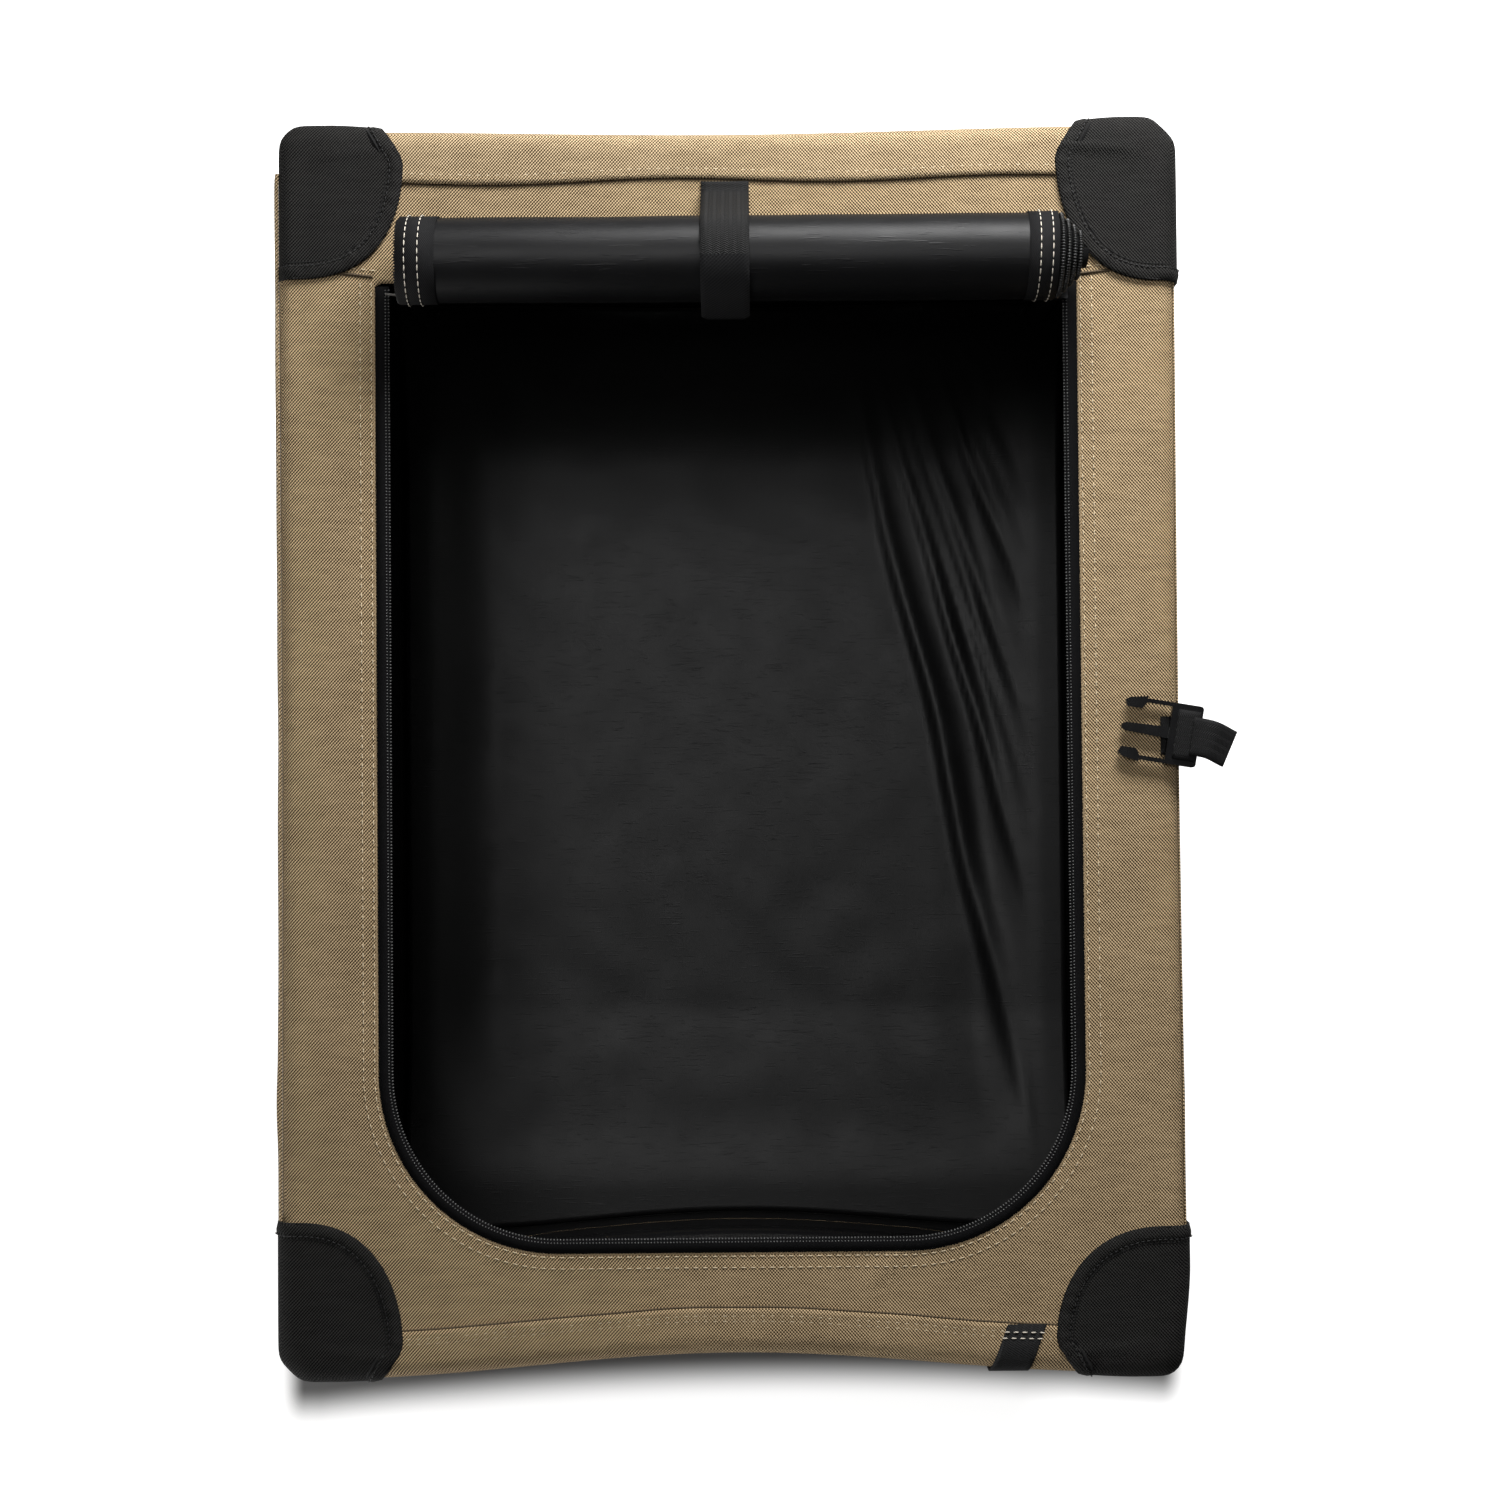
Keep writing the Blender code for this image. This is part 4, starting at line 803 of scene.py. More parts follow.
def quarter_opening(end, inset=0.0, steps=(48, 14, 40)):
    """With as many points as the outline's quarter, so that the two can be lofted."""
    reach = OPEN_REAR if end == REAR else OPEN_FRONT
    radius = REAR_CORNER if end == REAR else OPEN_CORNER
    half, reach, radius = OPEN_X - inset, reach - inset, max(radius - inset, 0.002)
    points = [(half, end * (reach - radius) * i / steps[0]) for i in range(steps[0] + 1)]
    for angle in quarter_turn(steps[1], 1):
        points.append((half - radius * (1 - math.cos(angle)),
                       end * (reach - radius * (1 - math.sin(angle)))))
    for i in range(1, steps[2] + 1):
        points.append(((half - radius) * (1 - i / steps[2]), end * reach))
    return points


def opening_path(inset, z, to_rear=0.0):
    """The zip's U: down the right side, round the front and up the left side."""
    top = OPEN_REAR - to_rear
    line = [(OPEN_X - inset, top * (1 - i / 30)) for i in range(30)]
    line += quarter_opening(FRONT, inset, (30, 24, 30))
    return [(x, y, z) for x, y in line] + [(-x, y, z) for x, y in reversed(line[:-1])]


def roof_height(x, y):
    """How far the taut roof stands above its plane: slow waves, and puckers at its seams."""
    slow = 0.0005 * ripple(x, y, 0, 0.07, 3.0)
    rear = math.exp(-(((y - 0.300) / 0.012) ** 2))
    front = math.exp(-(((y + 0.296) / 0.014) ** 2))
    beside = math.exp(-(((abs(x) - OPEN_X - 0.006) / 0.010) ** 2)) * (abs(y) < 0.24)
    pucker = 0.0003 * (rear + front) * ripple(x, 0, 0, 0.011, 9.0)
    pucker += 0.00022 * beside * ripple(0, y, 0, 0.012, 5.0)
    off_x, off_y = x - CREASE_AT[0], y - CREASE_AT[1]
    off_crease, along_crease = off_x * 0.70 - off_y * 0.71, off_x * 0.71 + off_y * 0.70
    crease = 0.0011 * math.exp(-((off_crease / 0.005) ** 2) - (along_crease / 0.013) ** 2)
    slack = 0.0012 * math.exp(-(((x + 0.213) / 0.014) ** 2) - ((y - 0.236) / 0.018) ** 2)
    return slow + pucker + crease + slack


def make_roof():
    rows = [rim_ring(0.0, HEIGHT - ROOF_SKIRT + (ROOF_SKIRT - EDGE) * i / 5) for i in range(6)]
    for angle in quarter_turn(8, 1):
        rows.append(rim_ring(EDGE * (1 - math.cos(angle)), HEIGHT - EDGE * (1 - math.sin(angle))))
    outer, inner = rows[-1], [(x, y, HEIGHT) for x, y in closed(quarter_opening)]
    for i in range(1, 27):
        t = i / 26
        row = []
        for a, b in zip(outer, inner):
            x, y = a[0] + (b[0] - a[0]) * t, a[1] + (b[1] - a[1]) * t
            row.append((x, y, HEIGHT + roof_height(x, y) * min(1, 6 * t)))
        rows.append(row)
    return thicken(loft("roof_cloth", rows, cyclic=True), CLOTH, tan_cloth, lining)


roof = sew_on(make_roof(), "top", "tan_cloth", "roof_panel")
print("roof:", len(roof.data.polygons), "faces")


# %% [markdown]
# The strip along each short end is a panel of its own, sewn over the roof. Its edge is a
# small step with a painted shadow line beside it, and its topstitching runs a little way
# inside that edge.


# %% End strips
FRONT_SEAM, STRIP_HALF, STRIP_CLOTH = 0.0235, 0.190, 0.0006


def seam_y(x, end, inset=0.0):
    """How far from the middle an end's seam lies: nearly straight behind, bowed in front."""
    wander = 0.0008 * ripple(x, end, 0, 0.05, 4.0)
    if end == REAR:
        return 0.3021 + 0.003 * x + 0.0013 * math.cos((x + 0.03) * 2 * math.pi / 0.18) + inset
    return LENGTH / 2 - FRONT_SEAM - FRONT_BOW * bow(x / STRAIGHT_X) + inset + wander


def end_strip(name, end):
    """From the seam on the roof, over the rounded edge and down the skirt."""
    lift = 0.0004 + STRIP_CLOTH
    places = stations(ROOF_SKIRT - 0.001, 6, 3)[::-1]
    rows = []
    for n in range(-6, len(places)):
        inset, drop, tilt = places[max(n, 0)]
        row = []
        for c in range(121):
            x = -STRIP_HALF + 2 * STRIP_HALF * c / 120
            y = LENGTH / 2 - inset + lift * math.cos(tilt) - BOW[end] * bow(x / STRAIGHT_X)
            if n < 0:
                y += (seam_y(x, end) - y) * -n / 6
            fade = math.exp(-(n + 6) / 2)
            waves = roof_height(x, end * y) + 0.00025 * fade * ripple(x, 0, 0, 0.009, 5.0)
            row.append((x, end * y, HEIGHT - drop + lift * math.sin(tilt) + waves * (n < 1)))
        rows.append(row)
    strip = loft(name, rows, flip=end == REAR)
    # The rear strip takes the lighter tan: painted light.
    thicken(strip, STRIP_CLOTH, tan_painted_light if end == REAR else tan_cloth)
    return sew_on(strip, "top", "tan_cloth")


rear_strip, front_strip = end_strip("rear_strip", REAR), end_strip("front_strip", FRONT)
print("end strips:", len(rear_strip.data.polygons) + len(front_strip.data.polygons), "faces")

# %% [markdown]
# The stitches round the opening, on the rails and beside the strips are rows of thread.
# Where one cloth is tucked under another, a thin dark tube along the seam paints its shadow,
# and a lighter tube paints a highlight on the opening's folded edge.


# %% Roof seams
def strip_line(end, inset, half_span=0.176, lift=0.0014):
    """A line beside an end's seam, on the strip where the inset is above 0."""
    xs = [half_span * (i / 60 - 1) for i in range(121)]
    line = [(x, end * seam_y(x, end, inset)) for x in xs]
    return [(x, y, HEIGHT + lift + roof_height(x, y)) for x, y in line]


def rail_line(side, y, slope, lift=0.0003):
    """The short seam that joins a side rail to the rear panel."""
    xs = [side * (OPEN_X + 0.001 + 0.026 * i / 12) for i in range(13)]
    return [(x, y + slope * (abs(x) - OPEN_X), HEIGHT + lift) for x in xs]


def beside_opening(inset, lift):
    """A line round the opening that follows the roof's own waves."""
    line = opening_path(inset, HEIGHT + lift, 0.001)
    return [(x, y, z + roof_height(x, y)) for x, y, z in line]


roof_stitches = stitches(
    "roof_topstitch",
    [strip_line(REAR, 0.0050), strip_line(FRONT, 0.0040), strip_line(FRONT, 0.0068),
     beside_opening(-0.0019, 0.0003), beside_opening(-0.0078, 0.0003),
     rail_line(LEFT, 0.2553, 0.12), rail_line(RIGHT, 0.2538, 0.11)],
    tan_thread, "top", "tan_cloth", "topstitch")


def seam_shadow(name, lines, radius=0.0005, material=seam_shade, slot="tan_cloth"):
    """A thin tube along a line: painted shadow in a dark finish, a painted highlight in a light
    one.
    """
    bm = bmesh.new()
    for line in lines:
        rings = []
        for i, point in enumerate(line):
            ahead = Vector(line[min(i + 1, len(line) - 1)]) - Vector(line[max(i - 1, 0)])
            across = ahead.normalized().cross(Vector((0, 0, 1))) * radius
            up = Vector((0, 0, radius * 0.8))
            rings.append([bm.verts.new(Vector(point) + w * across + h * up)
                          for w, h in ((-1, 0), (0, 1), (1, 0), (0, -1))])
        for a, b in zip(rings, rings[1:]):
            for i in range(4):
                bm.faces.new((a[i], a[(i + 1) % 4], b[(i + 1) % 4], b[i]))
        bm.faces.new(rings[0])
        bm.faces.new(rings[-1][::-1])
    bmesh.ops.recalc_face_normals(bm, faces=bm.faces)
    mesh = bpy.data.meshes.new(name)
    bm.to_mesh(mesh)
    bm.free()
    mesh.materials.append(material)
    return sew_on(mesh_object(name, mesh), "top", slot)


WIDE_SEAM = 0.0009
rail_seam_shadows = seam_shadow(
    "rail_seam_shadows", [rail_line(LEFT, 0.2518, 0.12), rail_line(RIGHT, 0.2503, 0.11)], WIDE_SEAM)
roof_seam_shadows = seam_shadow(
    "roof_seam_shadows", [strip_line(end, -0.0004, lift=0.0001) for end in (REAR, FRONT)])
# A lighter tan tube along the opening's edge: a painted highlight on its fold.
opening_fold_highlight = seam_shadow(
    "opening_fold_highlight", [beside_opening(-0.0006, -0.0004)], WIDE_SEAM, tan_painted_light)
declare(roof, WIDTH + 2 * ROOF_SKIRT, LENGTH + 2 * ROOF_SKIRT, "stretched",
        ["top_frame_tube_front", "top_frame_tube_rear"],
        [rear_strip, front_strip, roof_stitches, roof_seam_shadows, rail_seam_shadows, opening_fold_highlight])
print("roof stitches:", len(roof_stitches.data.polygons), "faces")

# %% [markdown]
# ## Corner patches
# A black patch protects each corner. It wraps the edge and the skirt, and its inner edge is
# a full curve that draws in again over the end. The edge is turned in and sewn down with one
# row of stitches, a hem whose slight gathers show where the curve is tight.


# %% Patch shapes
PATCH = 0.0011
PATCH_SIZE = {(REAR, LEFT): (0.068, 0.079), (REAR, RIGHT): (0.0635, 0.0835),
              (FRONT, LEFT): (0.065, 0.082), (FRONT, RIGHT): (0.070, 0.0765)}
PATCH_CORNER = {(REAR, LEFT): (0.007, 0.0030), (REAR, RIGHT): (0.012, 0.0040),
                (FRONT, LEFT): (0.011, 0.0008), (FRONT, RIGHT): (0.006, 0.0016)}
PATCH_FULL = {(REAR, LEFT): 0.78, (REAR, RIGHT): 0.86,
              (FRONT, LEFT): 0.86, (FRONT, RIGHT): 0.86}


def end_draw(inset, drop):
    """How much narrower a patch gets where it leaves the roof over an end."""
    return 0.013 * max(1 - inset / 0.020, 0) ** 2 + 0.45 * max(drop - EDGE, 0)


def patch_runs(end, side, inset, drop):
    """Where a level of the patch begins and ends, as distances round the crate."""
    wide, long = PATCH_SIZE[end, side]
    first = run_at(side * WIDTH / 2, end * (LENGTH / 2 - long))
    return first, run_at(side * (WIDTH / 2 - wide + end_draw(inset, drop)), end * LENGTH / 2)


def patch_place(end, side, run, inset):
    """On the rim, but squarer at the corner, where the stiff cloth stands off the bent tube.
    At the rear left and the front right the side seam draws the patch a little further in."""
    chamfer, bulge = PATCH_CORNER[end, side]
    x, y = on_rim(run, inset)
    a, b = side * x - STRAIGHT_X, end * y - STRAIGHT_Y
    hold = 1 - max(inset, 0) / EDGE
    if a > 0 and b > 0:
        angle = math.atan2(b, a)
        c, s = math.cos(angle), math.sin(angle)
        gain = (c ** 20 + s ** 20 + ((c + s) / (2 - chamfer / CORNER)) ** 20) ** (-1 / 20)
        a, b = a * (1 + (gain - 1) * hold), b * (1 + (gain - 1) * hold)
    b += hold * bulge * smooth_step(a, STRAIGHT_X * -0.26, 0.0) * (b > 0)
    drawn = hold * smooth_step(a, 0, CORNER * 0.6)
    if (end, side) == (REAR, LEFT):
        a -= 0.0026 * drawn
    if (end, side) == (FRONT, RIGHT):
        a -= 0.0040 * drawn * smooth_step(b, -0.03, CORNER)
    return side * (a + STRAIGHT_X), end * (b + STRAIGHT_Y)


def patch_curve(end, side, t):
    """The patch's full inner edge, from its long side at t = 0 to its short one at 1."""
    wide, long = PATCH_SIZE[end, side]
    angle = math.pi / 2 * t
    x = (wide - EDGE) * max(math.sin(angle), 0) ** PATCH_FULL[end, side]
    y = (long - EDGE) * max(math.cos(angle), 0) ** PATCH_FULL[end, side]
    x -= end_draw(EDGE + y, 0)
    y += t * BOW[end] * bow((WIDTH / 2 - wide) / STRAIGHT_X)
    return side * (WIDTH / 2 - EDGE - x), end * (LENGTH / 2 - EDGE - y)


def patch_crown(x, y):
    """Soft slack in a patch, with a crease near the end's edge."""
    crease = math.exp(-(((abs(y) - 0.318 + 0.04 * (abs(x) - 0.2)) / 0.003) ** 2))
    return 0.0003 * ripple(x, y, 0, 0.02) + (0.0013 if x > 0 and y > 0 else 0.0006) * crease


def make_patch(name, end, side, at_top, count=56):
    up = 1 if at_top else -1
    flat = HEIGHT if at_top else 0.0
    lift = GAP + PATCH
    rows = []
    for inset, drop, tilt in stations((ROOF_SKIRT if at_top else BASE_SKIRT) - 0.001):
        first, last = patch_runs(end, side, inset, drop if at_top else 0.0)
        runs = [first + (last - first) * i / count for i in range(count + 1)]
        z = flat - up * (drop - lift * math.sin(tilt))
        rows.append([(*patch_place(end, side, r, inset - lift * math.cos(tilt)), z) for r in runs])
    if at_top:
        edge = rows[-1]
        curve = [patch_curve(end, side, j / count) for j in range(count + 1)]
        for i in range(1, 13):
            row = []
            for point, goal in zip(edge, curve):
                x, y = (a + (b - a) * i / 12 for a, b in zip(point, goal))
                row.append((x, y, flat + lift + patch_crown(x, y)))
            rows.append(row)
    else:
        rows = rows[:7]
    patch = loft(name, rows, flip=(side * end > 0) == at_top)
    return thicken(patch, PATCH, black_cloth)


print("patch shapes:", len(PATCH_SIZE))

# %% [markdown]
# A hem follows its patch's free edge up one skirt, along the curve and down the other. The
# edge is sampled evenly, with the way the cloth faces and the way into the patch at each
# place, so that the turned-in layer, its stitches and a dark tube that paints the shade in
# its groove are lines beside it.


# %% Patch hems
HEM_CLOTH, HEM_STEP = 0.0005, 0.0012
# The turned-in edge's layers: how far in they lie, how high, and how much they gather.
HEM_LINES = ((0.0, 0.0), (-0.0003, 0.0004), (0.0012, 0.0013, 0.0002),
             (0.0040, 0.0018, 0.0010), (0.0070, 0.0014, 0.0008), (0.0080, 0.0))


def patch_edge(end, side):
    """Evenly spaced places along a roof patch's free edge, with how the cloth faces there
    and which way leads into the patch."""
    lift = GAP + PATCH
    sides = [[], []]
    for inset, drop, tilt in stations(ROOF_SKIRT - 0.001, 10, 8):
        for line, run in zip(sides, patch_runs(end, side, inset, drop)):
            outward = Vector(on_rim(run, -1)) - Vector(on_rim(run))
            place = patch_place(end, side, run, inset - lift * math.cos(tilt))
            z = HEIGHT - drop + lift * math.sin(tilt)
            line.append((*place, z, *(outward * math.cos(tilt)), math.sin(tilt)))
    roof_part = [(*patch_curve(end, side, i / 80), HEIGHT + lift, 0, 0, 1) for i in range(1, 80)]
    line = np.array(sides[0] + roof_part + sides[1][::-1])
    run = np.concatenate([[0], np.cumsum(np.linalg.norm(np.diff(line[:, :3], axis=0), axis=1))])
    even = np.linspace(0, run[-1], int(run[-1] / HEM_STEP) + 1)
    line = np.stack([np.interp(even, run, column) for column in line.T], 1)
    ahead = np.gradient(line[:, :3], axis=0)
    inward = np.cross(ahead, line[:, 3:]) * (side * end)
    return line[:, :3], line[:, 3:], inward / np.linalg.norm(inward, axis=1)[:, None]


def hem_line(edge, inset, lift, gathers=0.0):
    places, faces, inward = edge
    waves = [gathers * ripple(i * HEM_STEP, 0, inset, 0.006, 3.0) for i in range(len(places))]
    height = lift + np.array(waves)
    return [tuple(p) for p in places + inward * inset + faces * height[:, None]]


def patch_hem(name, end, side):
    """The patch's edge is turned in, which makes a second layer along it."""
    edge = patch_edge(end, side)
    band = loft(name, [hem_line(edge, *way) for way in HEM_LINES], flip=side * end > 0)
    thicken(band, HEM_CLOTH, black_cloth)
    # The last line is the groove's, where a dark tube paints its shade.
    return band, hem_line(edge, 0.0066, 0.0019, 0.0008), hem_line(edge, 0.0084, 0.0005)


print("hem layers:", len(HEM_LINES))

# %% [markdown]
# The same four corners get a patch on the roof with its hem, stitches and painted groove
# shade, and a low plain patch on the base.

# %% Patches in place
for end, end_name in ((FRONT, "front"), (REAR, "rear")):
    for side, side_name in ((LEFT, "left"), (RIGHT, "right")):
        tag = f"{end_name}_{side_name}"
        patch = make_patch(f"roof_patch_{tag}", end, side, True)
        sew_on(patch, "top", "black_cloth", f"roof_corner_{tag}")
        band, line, groove_shadow = patch_hem(f"roof_patch_hem_{tag}", end, side)
        groove_shadow = seam_shadow(
            f"roof_patch_groove_shadow_{tag}", [groove_shadow], 0.0011, groove_shade, "black_cloth")
        sew_on(band, "top", "black_cloth")
        row = stitches(
            f"roof_patch_stitch_{tag}", [line], black_thread, "top", "black_cloth", "patch")
        low = make_patch(f"base_patch_{tag}", end, side, False)
        sew_on(low, "base", "black_cloth", f"base_corner_{tag}")
        wide, long = PATCH_SIZE[end, side]
        declare(patch, wide + ROOF_SKIRT, long + ROOF_SKIRT, "stretched", [roof],
                [band, row, groove_shadow])
        declare(low, wide + long, BASE_SKIRT, "stretched", ["base_cover"])
print("patches:", 2 * len(PATCH_SIZE))


# %% Side welts
WELT_HALF, WELT_CLOTH = 0.2855, 0.0006


def side_welt(name, side, reach, droop):
    """A narrow bound seam that stands out from the roof's long edge."""
    middle = RUN_LEFT if side == LEFT else RUN_RIGHT
    lines = []
    for out, down in ((0.0, 0.0), (0.5, 0.1), (0.9, 0.5), (1.0, 1.0)):
        line = []
        for i in range(181):
            u = WELT_HALF * (i / 90 - 1) + 0.0235 * side
            bulge = 0.5 * math.exp(-(((u + 0.188 * side) / 0.02) ** 2))
            full = reach * (1 + 0.25 * ripple(u, side, 0, 0.06, 8.0) + bulge)
            stand = full * out - 0.0006
            line.append((*on_rim(middle + u, -stand), HEIGHT - EDGE + 0.004 - droop * down))
        lines.append(line)
    # The welt takes the lighter tan: painted light on its edge.
    return sew_on(thicken(loft(name, lines), WELT_CLOTH, tan_painted_light), "top", "tan_cloth")


side_welt("left_welt", LEFT, 0.0019, 0.0012)
side_welt("right_welt", RIGHT, 0.0008, 0.006)
welt_runs = [RUN_LEFT + 0.27 * (i / 60 - 1) - 0.019 for i in range(121)]
welt_line = [(*on_rim(run, -0.0008), HEIGHT - EDGE + 0.0042) for run in welt_runs]
stitches("welt_stitches", [welt_line], tan_thread, "top", "tan_cloth", "welt")
print("welts ready")

# %% [markdown]
# ## The door's zip
# The tape is sewn under the roof's edge. Its coil runs along the free edge and shows as a
# fine toothed line, whose grey is a painted glint on black teeth. The slider waits at the
# rear right, and a bar tack ends the left side.


# %% Zip tape and coil
ZIP_Z = HEIGHT - CLOTH / 2
TAPE_WIDE, TAPE_LONG, TAPE_CLOTH = 0.014, 1.26, 0.001
FACES_OF_TOOTH = 30

lines = [opening_path(GAP + inset, ZIP_Z + 0.0005, 0.002) for inset in (0.0, 0.0036, 0.0072)]
top_tape = thicken(loft("top_zip_tape", lines), TAPE_CLOTH, zip_tape)
sew_on(top_tape, "top", "zip_coil", "door_zip_track")
lines = [opening_path(GAP + inset, ZIP_Z + 0.0009, 0.004) for inset in (0.0054, 0.0071)]
top_teeth = teeth("top_zip_teeth", lines, "top", pitch=0.0017, across=0.0013)
lines = [opening_path(GAP + 0.0026, ZIP_Z + 0.0007, 0.004)]
tape_stitches = stitches("zip_tape_stitches", lines, black_thread, "top", "zip_coil", "tape")
declare(top_tape, TAPE_WIDE, TAPE_LONG, "laid", [roof], [top_teeth, tape_stitches])

TACK_Z = ZIP_Z + 0.0016
tack_line = straight((-0.1805, 0.2425, TACK_Z), (-0.1735, 0.2421, TACK_Z), 0.001)
tack = row_along("left_bar_tack", [tack_line], 0.0007, (0.0006, 0.0016, 0.0008), grey_thread)
sew_on(tack, "top", "zip_coil")
print("zip teeth:", len(top_teeth.data.polygons) // FACES_OF_TOOTH)

# %% [markdown]
# ## The rolled door
# The flap winds up with its satin lining outwards, about five turns. Each layer steps a
# little to the right, so its zip coil shows in turn at the right end. Both ends carry a
# black band with two rows of white stitches.

# %% Roll shape
ROLL_R, ROLL_Y, ROLL_PITCH, ROLL_CLOTH, ROLL_TURNS = 0.0233, 0.2557, 0.0031, 0.0015, 5.5
ROLL_START = math.radians(-107)
ROLL_LEFT, ROLL_RIGHT, ROLL_SKEW = -0.1725, 0.1726, 1.1
roll_centre = Vector((ROLL_Y, HEIGHT + GAP + ROLL_R * math.sin(-ROLL_START)))


def roll_radius(turned):
    return ROLL_R - ROLL_CLOTH / 2 - ROLL_PITCH * turned / (2 * math.pi)


def on_roll(angle, radius):
    return roll_centre.x + radius * math.cos(angle), roll_centre.y + radius * math.sin(angle)


def roll_row(x_share, lift=0.0, first=0.0, turns=ROLL_TURNS, per_turn=44, inset=0.0029):
    """One wound line of the cloth, at a share of its length from left to right."""
    line = []
    for i in range(int((turns - first) * per_turn) + 1):
        turned = 2 * math.pi * (first + i / per_turn)
        radius = roll_radius(turned)
        sag = 0.0006 * ripple(x_share * 5, turned * 0.5, 0, 1.0, 7.0) if turned < 6 else 0
        y, z = on_roll(ROLL_START - turned, radius + lift + sag)
        x = ROLL_LEFT + inset + (ROLL_RIGHT - ROLL_LEFT - 2 * inset) * x_share
        line.append((x + ROLL_SKEW * (ROLL_R - radius), y, z))
    return line


def roll_uvs(rows):
    return [(row[0][0], 0.0022 * j) for row in rows for j in range(len(row))]


ROLL_ROWS, TAPE_ROWS = 90, 4
rows = [roll_row(i / ROLL_ROWS) for i in range(ROLL_ROWS + 1)]
roll = loft("rolled_door", rows, uvs=roll_uvs(rows), flip=True)
thicken(roll, ROLL_CLOTH, roll_satin, tan_cloth, 0.0)
roll.data.materials.append(zip_tape)
roll.data.materials.append(zip_tape)
wound = len(rows[0]) - 1
for number, face in enumerate(roll.data.polygons):
    on_tape = not TAPE_ROWS <= number // wound < ROLL_ROWS - TAPE_ROWS
    face.material_index = 2 if on_tape else 0
sew_on(roll, "top", "lining", "door_roll")
print("roll:", len(roll.data.polygons), "faces")


# %% Roll bands, stitches and coils
BAND_CLOTH, BAND_LIFT = 0.0005, 0.0008 + ROLL_CLOTH / 2
COIL_TURNS, COIL_FIRST, COIL_STEPS = 3.9, 0.12, 60


def roll_band(name, low, high):
    rows = [roll_row(s, BAND_LIFT, 0.06, 0.93) for s in (low, (low + high) / 2, high)]
    band = thicken(loft(name, rows, uvs=roll_uvs(rows), flip=True), BAND_CLOTH, binding)
    return sew_on(band, "top", "black_cloth")


left_band = roll_band("roll_band_left", -0.006, 0.053)
right_band = roll_band("roll_band_right", 0.955, 1.0)
lines = [roll_row(s, 0.0021, 0.10, 0.90, 90) for s in (0.0085, 0.0285, 0.9715, 0.990)]
roll_stitches = stitches("roll_stitches", lines, white_thread, "top", "black_cloth", "roll")


def coil_line(side):
    line = []
    for i in range(int(COIL_TURNS * COIL_STEPS)):
        turned = 2 * math.pi * (COIL_FIRST + i / COIL_STEPS)
        radius = roll_radius(turned)
        y, z = on_roll(ROLL_START - turned, radius)
        x = (ROLL_RIGHT if side > 0 else ROLL_LEFT) - side * 0.001
        line.append((x + ROLL_SKEW * (ROLL_R - radius), y, z))
    return line


def coil_teeth(name, side, node, finish):
    """The wound coil's teeth, which lie across the winding, along X."""
    tooth = 0.0010, 0.0019, 0.0025
    row = row_along(name, [coil_line(side)], TEETH_PITCH, tooth, finish, (1, 0, 0), 0.2)
    return sew_on(row, "top", "zip_coil", node)


coils = [coil_teeth("roll_coil_left", LEFT, "roll_zip_coil_left", black_thread),
         coil_teeth("roll_coil_right", RIGHT, "roll_zip_coil_right", dark_coil)]
ROLL_FLAT = 0.345, 0.516
declare(roll, *ROLL_FLAT, "folded", [roof], [left_band, right_band, roll_stitches, *coils])
print("roll: radius", ROLL_R, "turns", ROLL_TURNS)

# %% [markdown]
# ## The hold strap
# A 25 mm strap is sewn behind the roll, passes over it and hangs down its front. Its last
# stretch is hook-and-loop tape. It is lofted along the same line as the roll's own shape.


# %% Strap
STRAP_CLOTH, STRAP_SEAM, STRAP_FLAT = 0.0014, 0.302, 0.115
STRAP_ROUND, STRAP_TIP, HOOK_FROM = 0.003, 0.021, 0.2517


def strap_ribbon(name, path):
    """A band of even width along a path of (y, z) points, with a rounded far end."""
    rows, uvs, run = [], [], 0.0
    for n, (y, z) in enumerate(path):
        if n:
            run += math.dist(path[n], path[n - 1])
        left = sum(math.dist(path[i], path[i + 1]) for i in range(n, len(path) - 1))
        half = STRAP / 2
        if left < STRAP_ROUND:
            inner = STRAP_ROUND ** 2 - (STRAP_ROUND - left) ** 2
            half = STRAP / 2 - STRAP_ROUND + math.sqrt(max(inner, 0))
        rows.append([(half * (i / 4 - 1), y, z) for i in range(9)])
        uvs += [(run, STRAP / 2 + half * (i / 4 - 1)) for i in range(9)]
    return thicken(loft(name, rows, uvs=uvs), STRAP_CLOTH, strap_webbing, offset=0.0)


def strap_path(steps=40):
    """From its seam behind the roll, up and over it, and down its front."""
    seam = Vector((STRAP_SEAM, HEIGHT + GAP))
    low = seam.y + STRAP_CLOTH / 2
    path = [(seam.x - 0.0009, low), (seam.x - 0.003, low), (seam.x - 0.006, low)]
    lift = 0.0005 + (ROLL_CLOTH + STRAP_CLOTH) / 2
    start = Vector(path[-1])
    first = math.atan2(start.y - roll_centre.y, start.x - roll_centre.x)
    first += math.acos((roll_radius(math.radians(200)) + lift) / (start - roll_centre).length)
    last = math.atan2(roll_centre.y - seam.y, roll_centre.x - seam.x)
    over = []
    for i in range(steps + 1):
        angle = first + (last - first) * i / steps
        over.append(on_roll(angle, roll_radius(ROLL_START - angle + 2 * math.pi) + lift))
    rise = [tuple(start.lerp(Vector(over[0]), i / 8)) for i in range(1, 8)]
    along = last + math.pi / 2
    tip = []
    for i in range(1, 11):
        reach = STRAP_TIP * i / 10
        tip.append((over[-1][0] + reach * math.cos(along), over[-1][1] + reach * math.sin(along)))
    return path + rise + over + tip


strap = strap_ribbon("hold_strap", strap_path())
sew_on(strap, "roll_strap", "webbing", "roll_strap")
strap.data.materials.append(hook_tape)
for face in strap.data.polygons:
    face.material_index = int(face.center.y < HOOK_FROM)
declare(strap, STRAP, STRAP_FLAT, "draped", [roll])
print("strap faces:", len(strap.data.polygons))

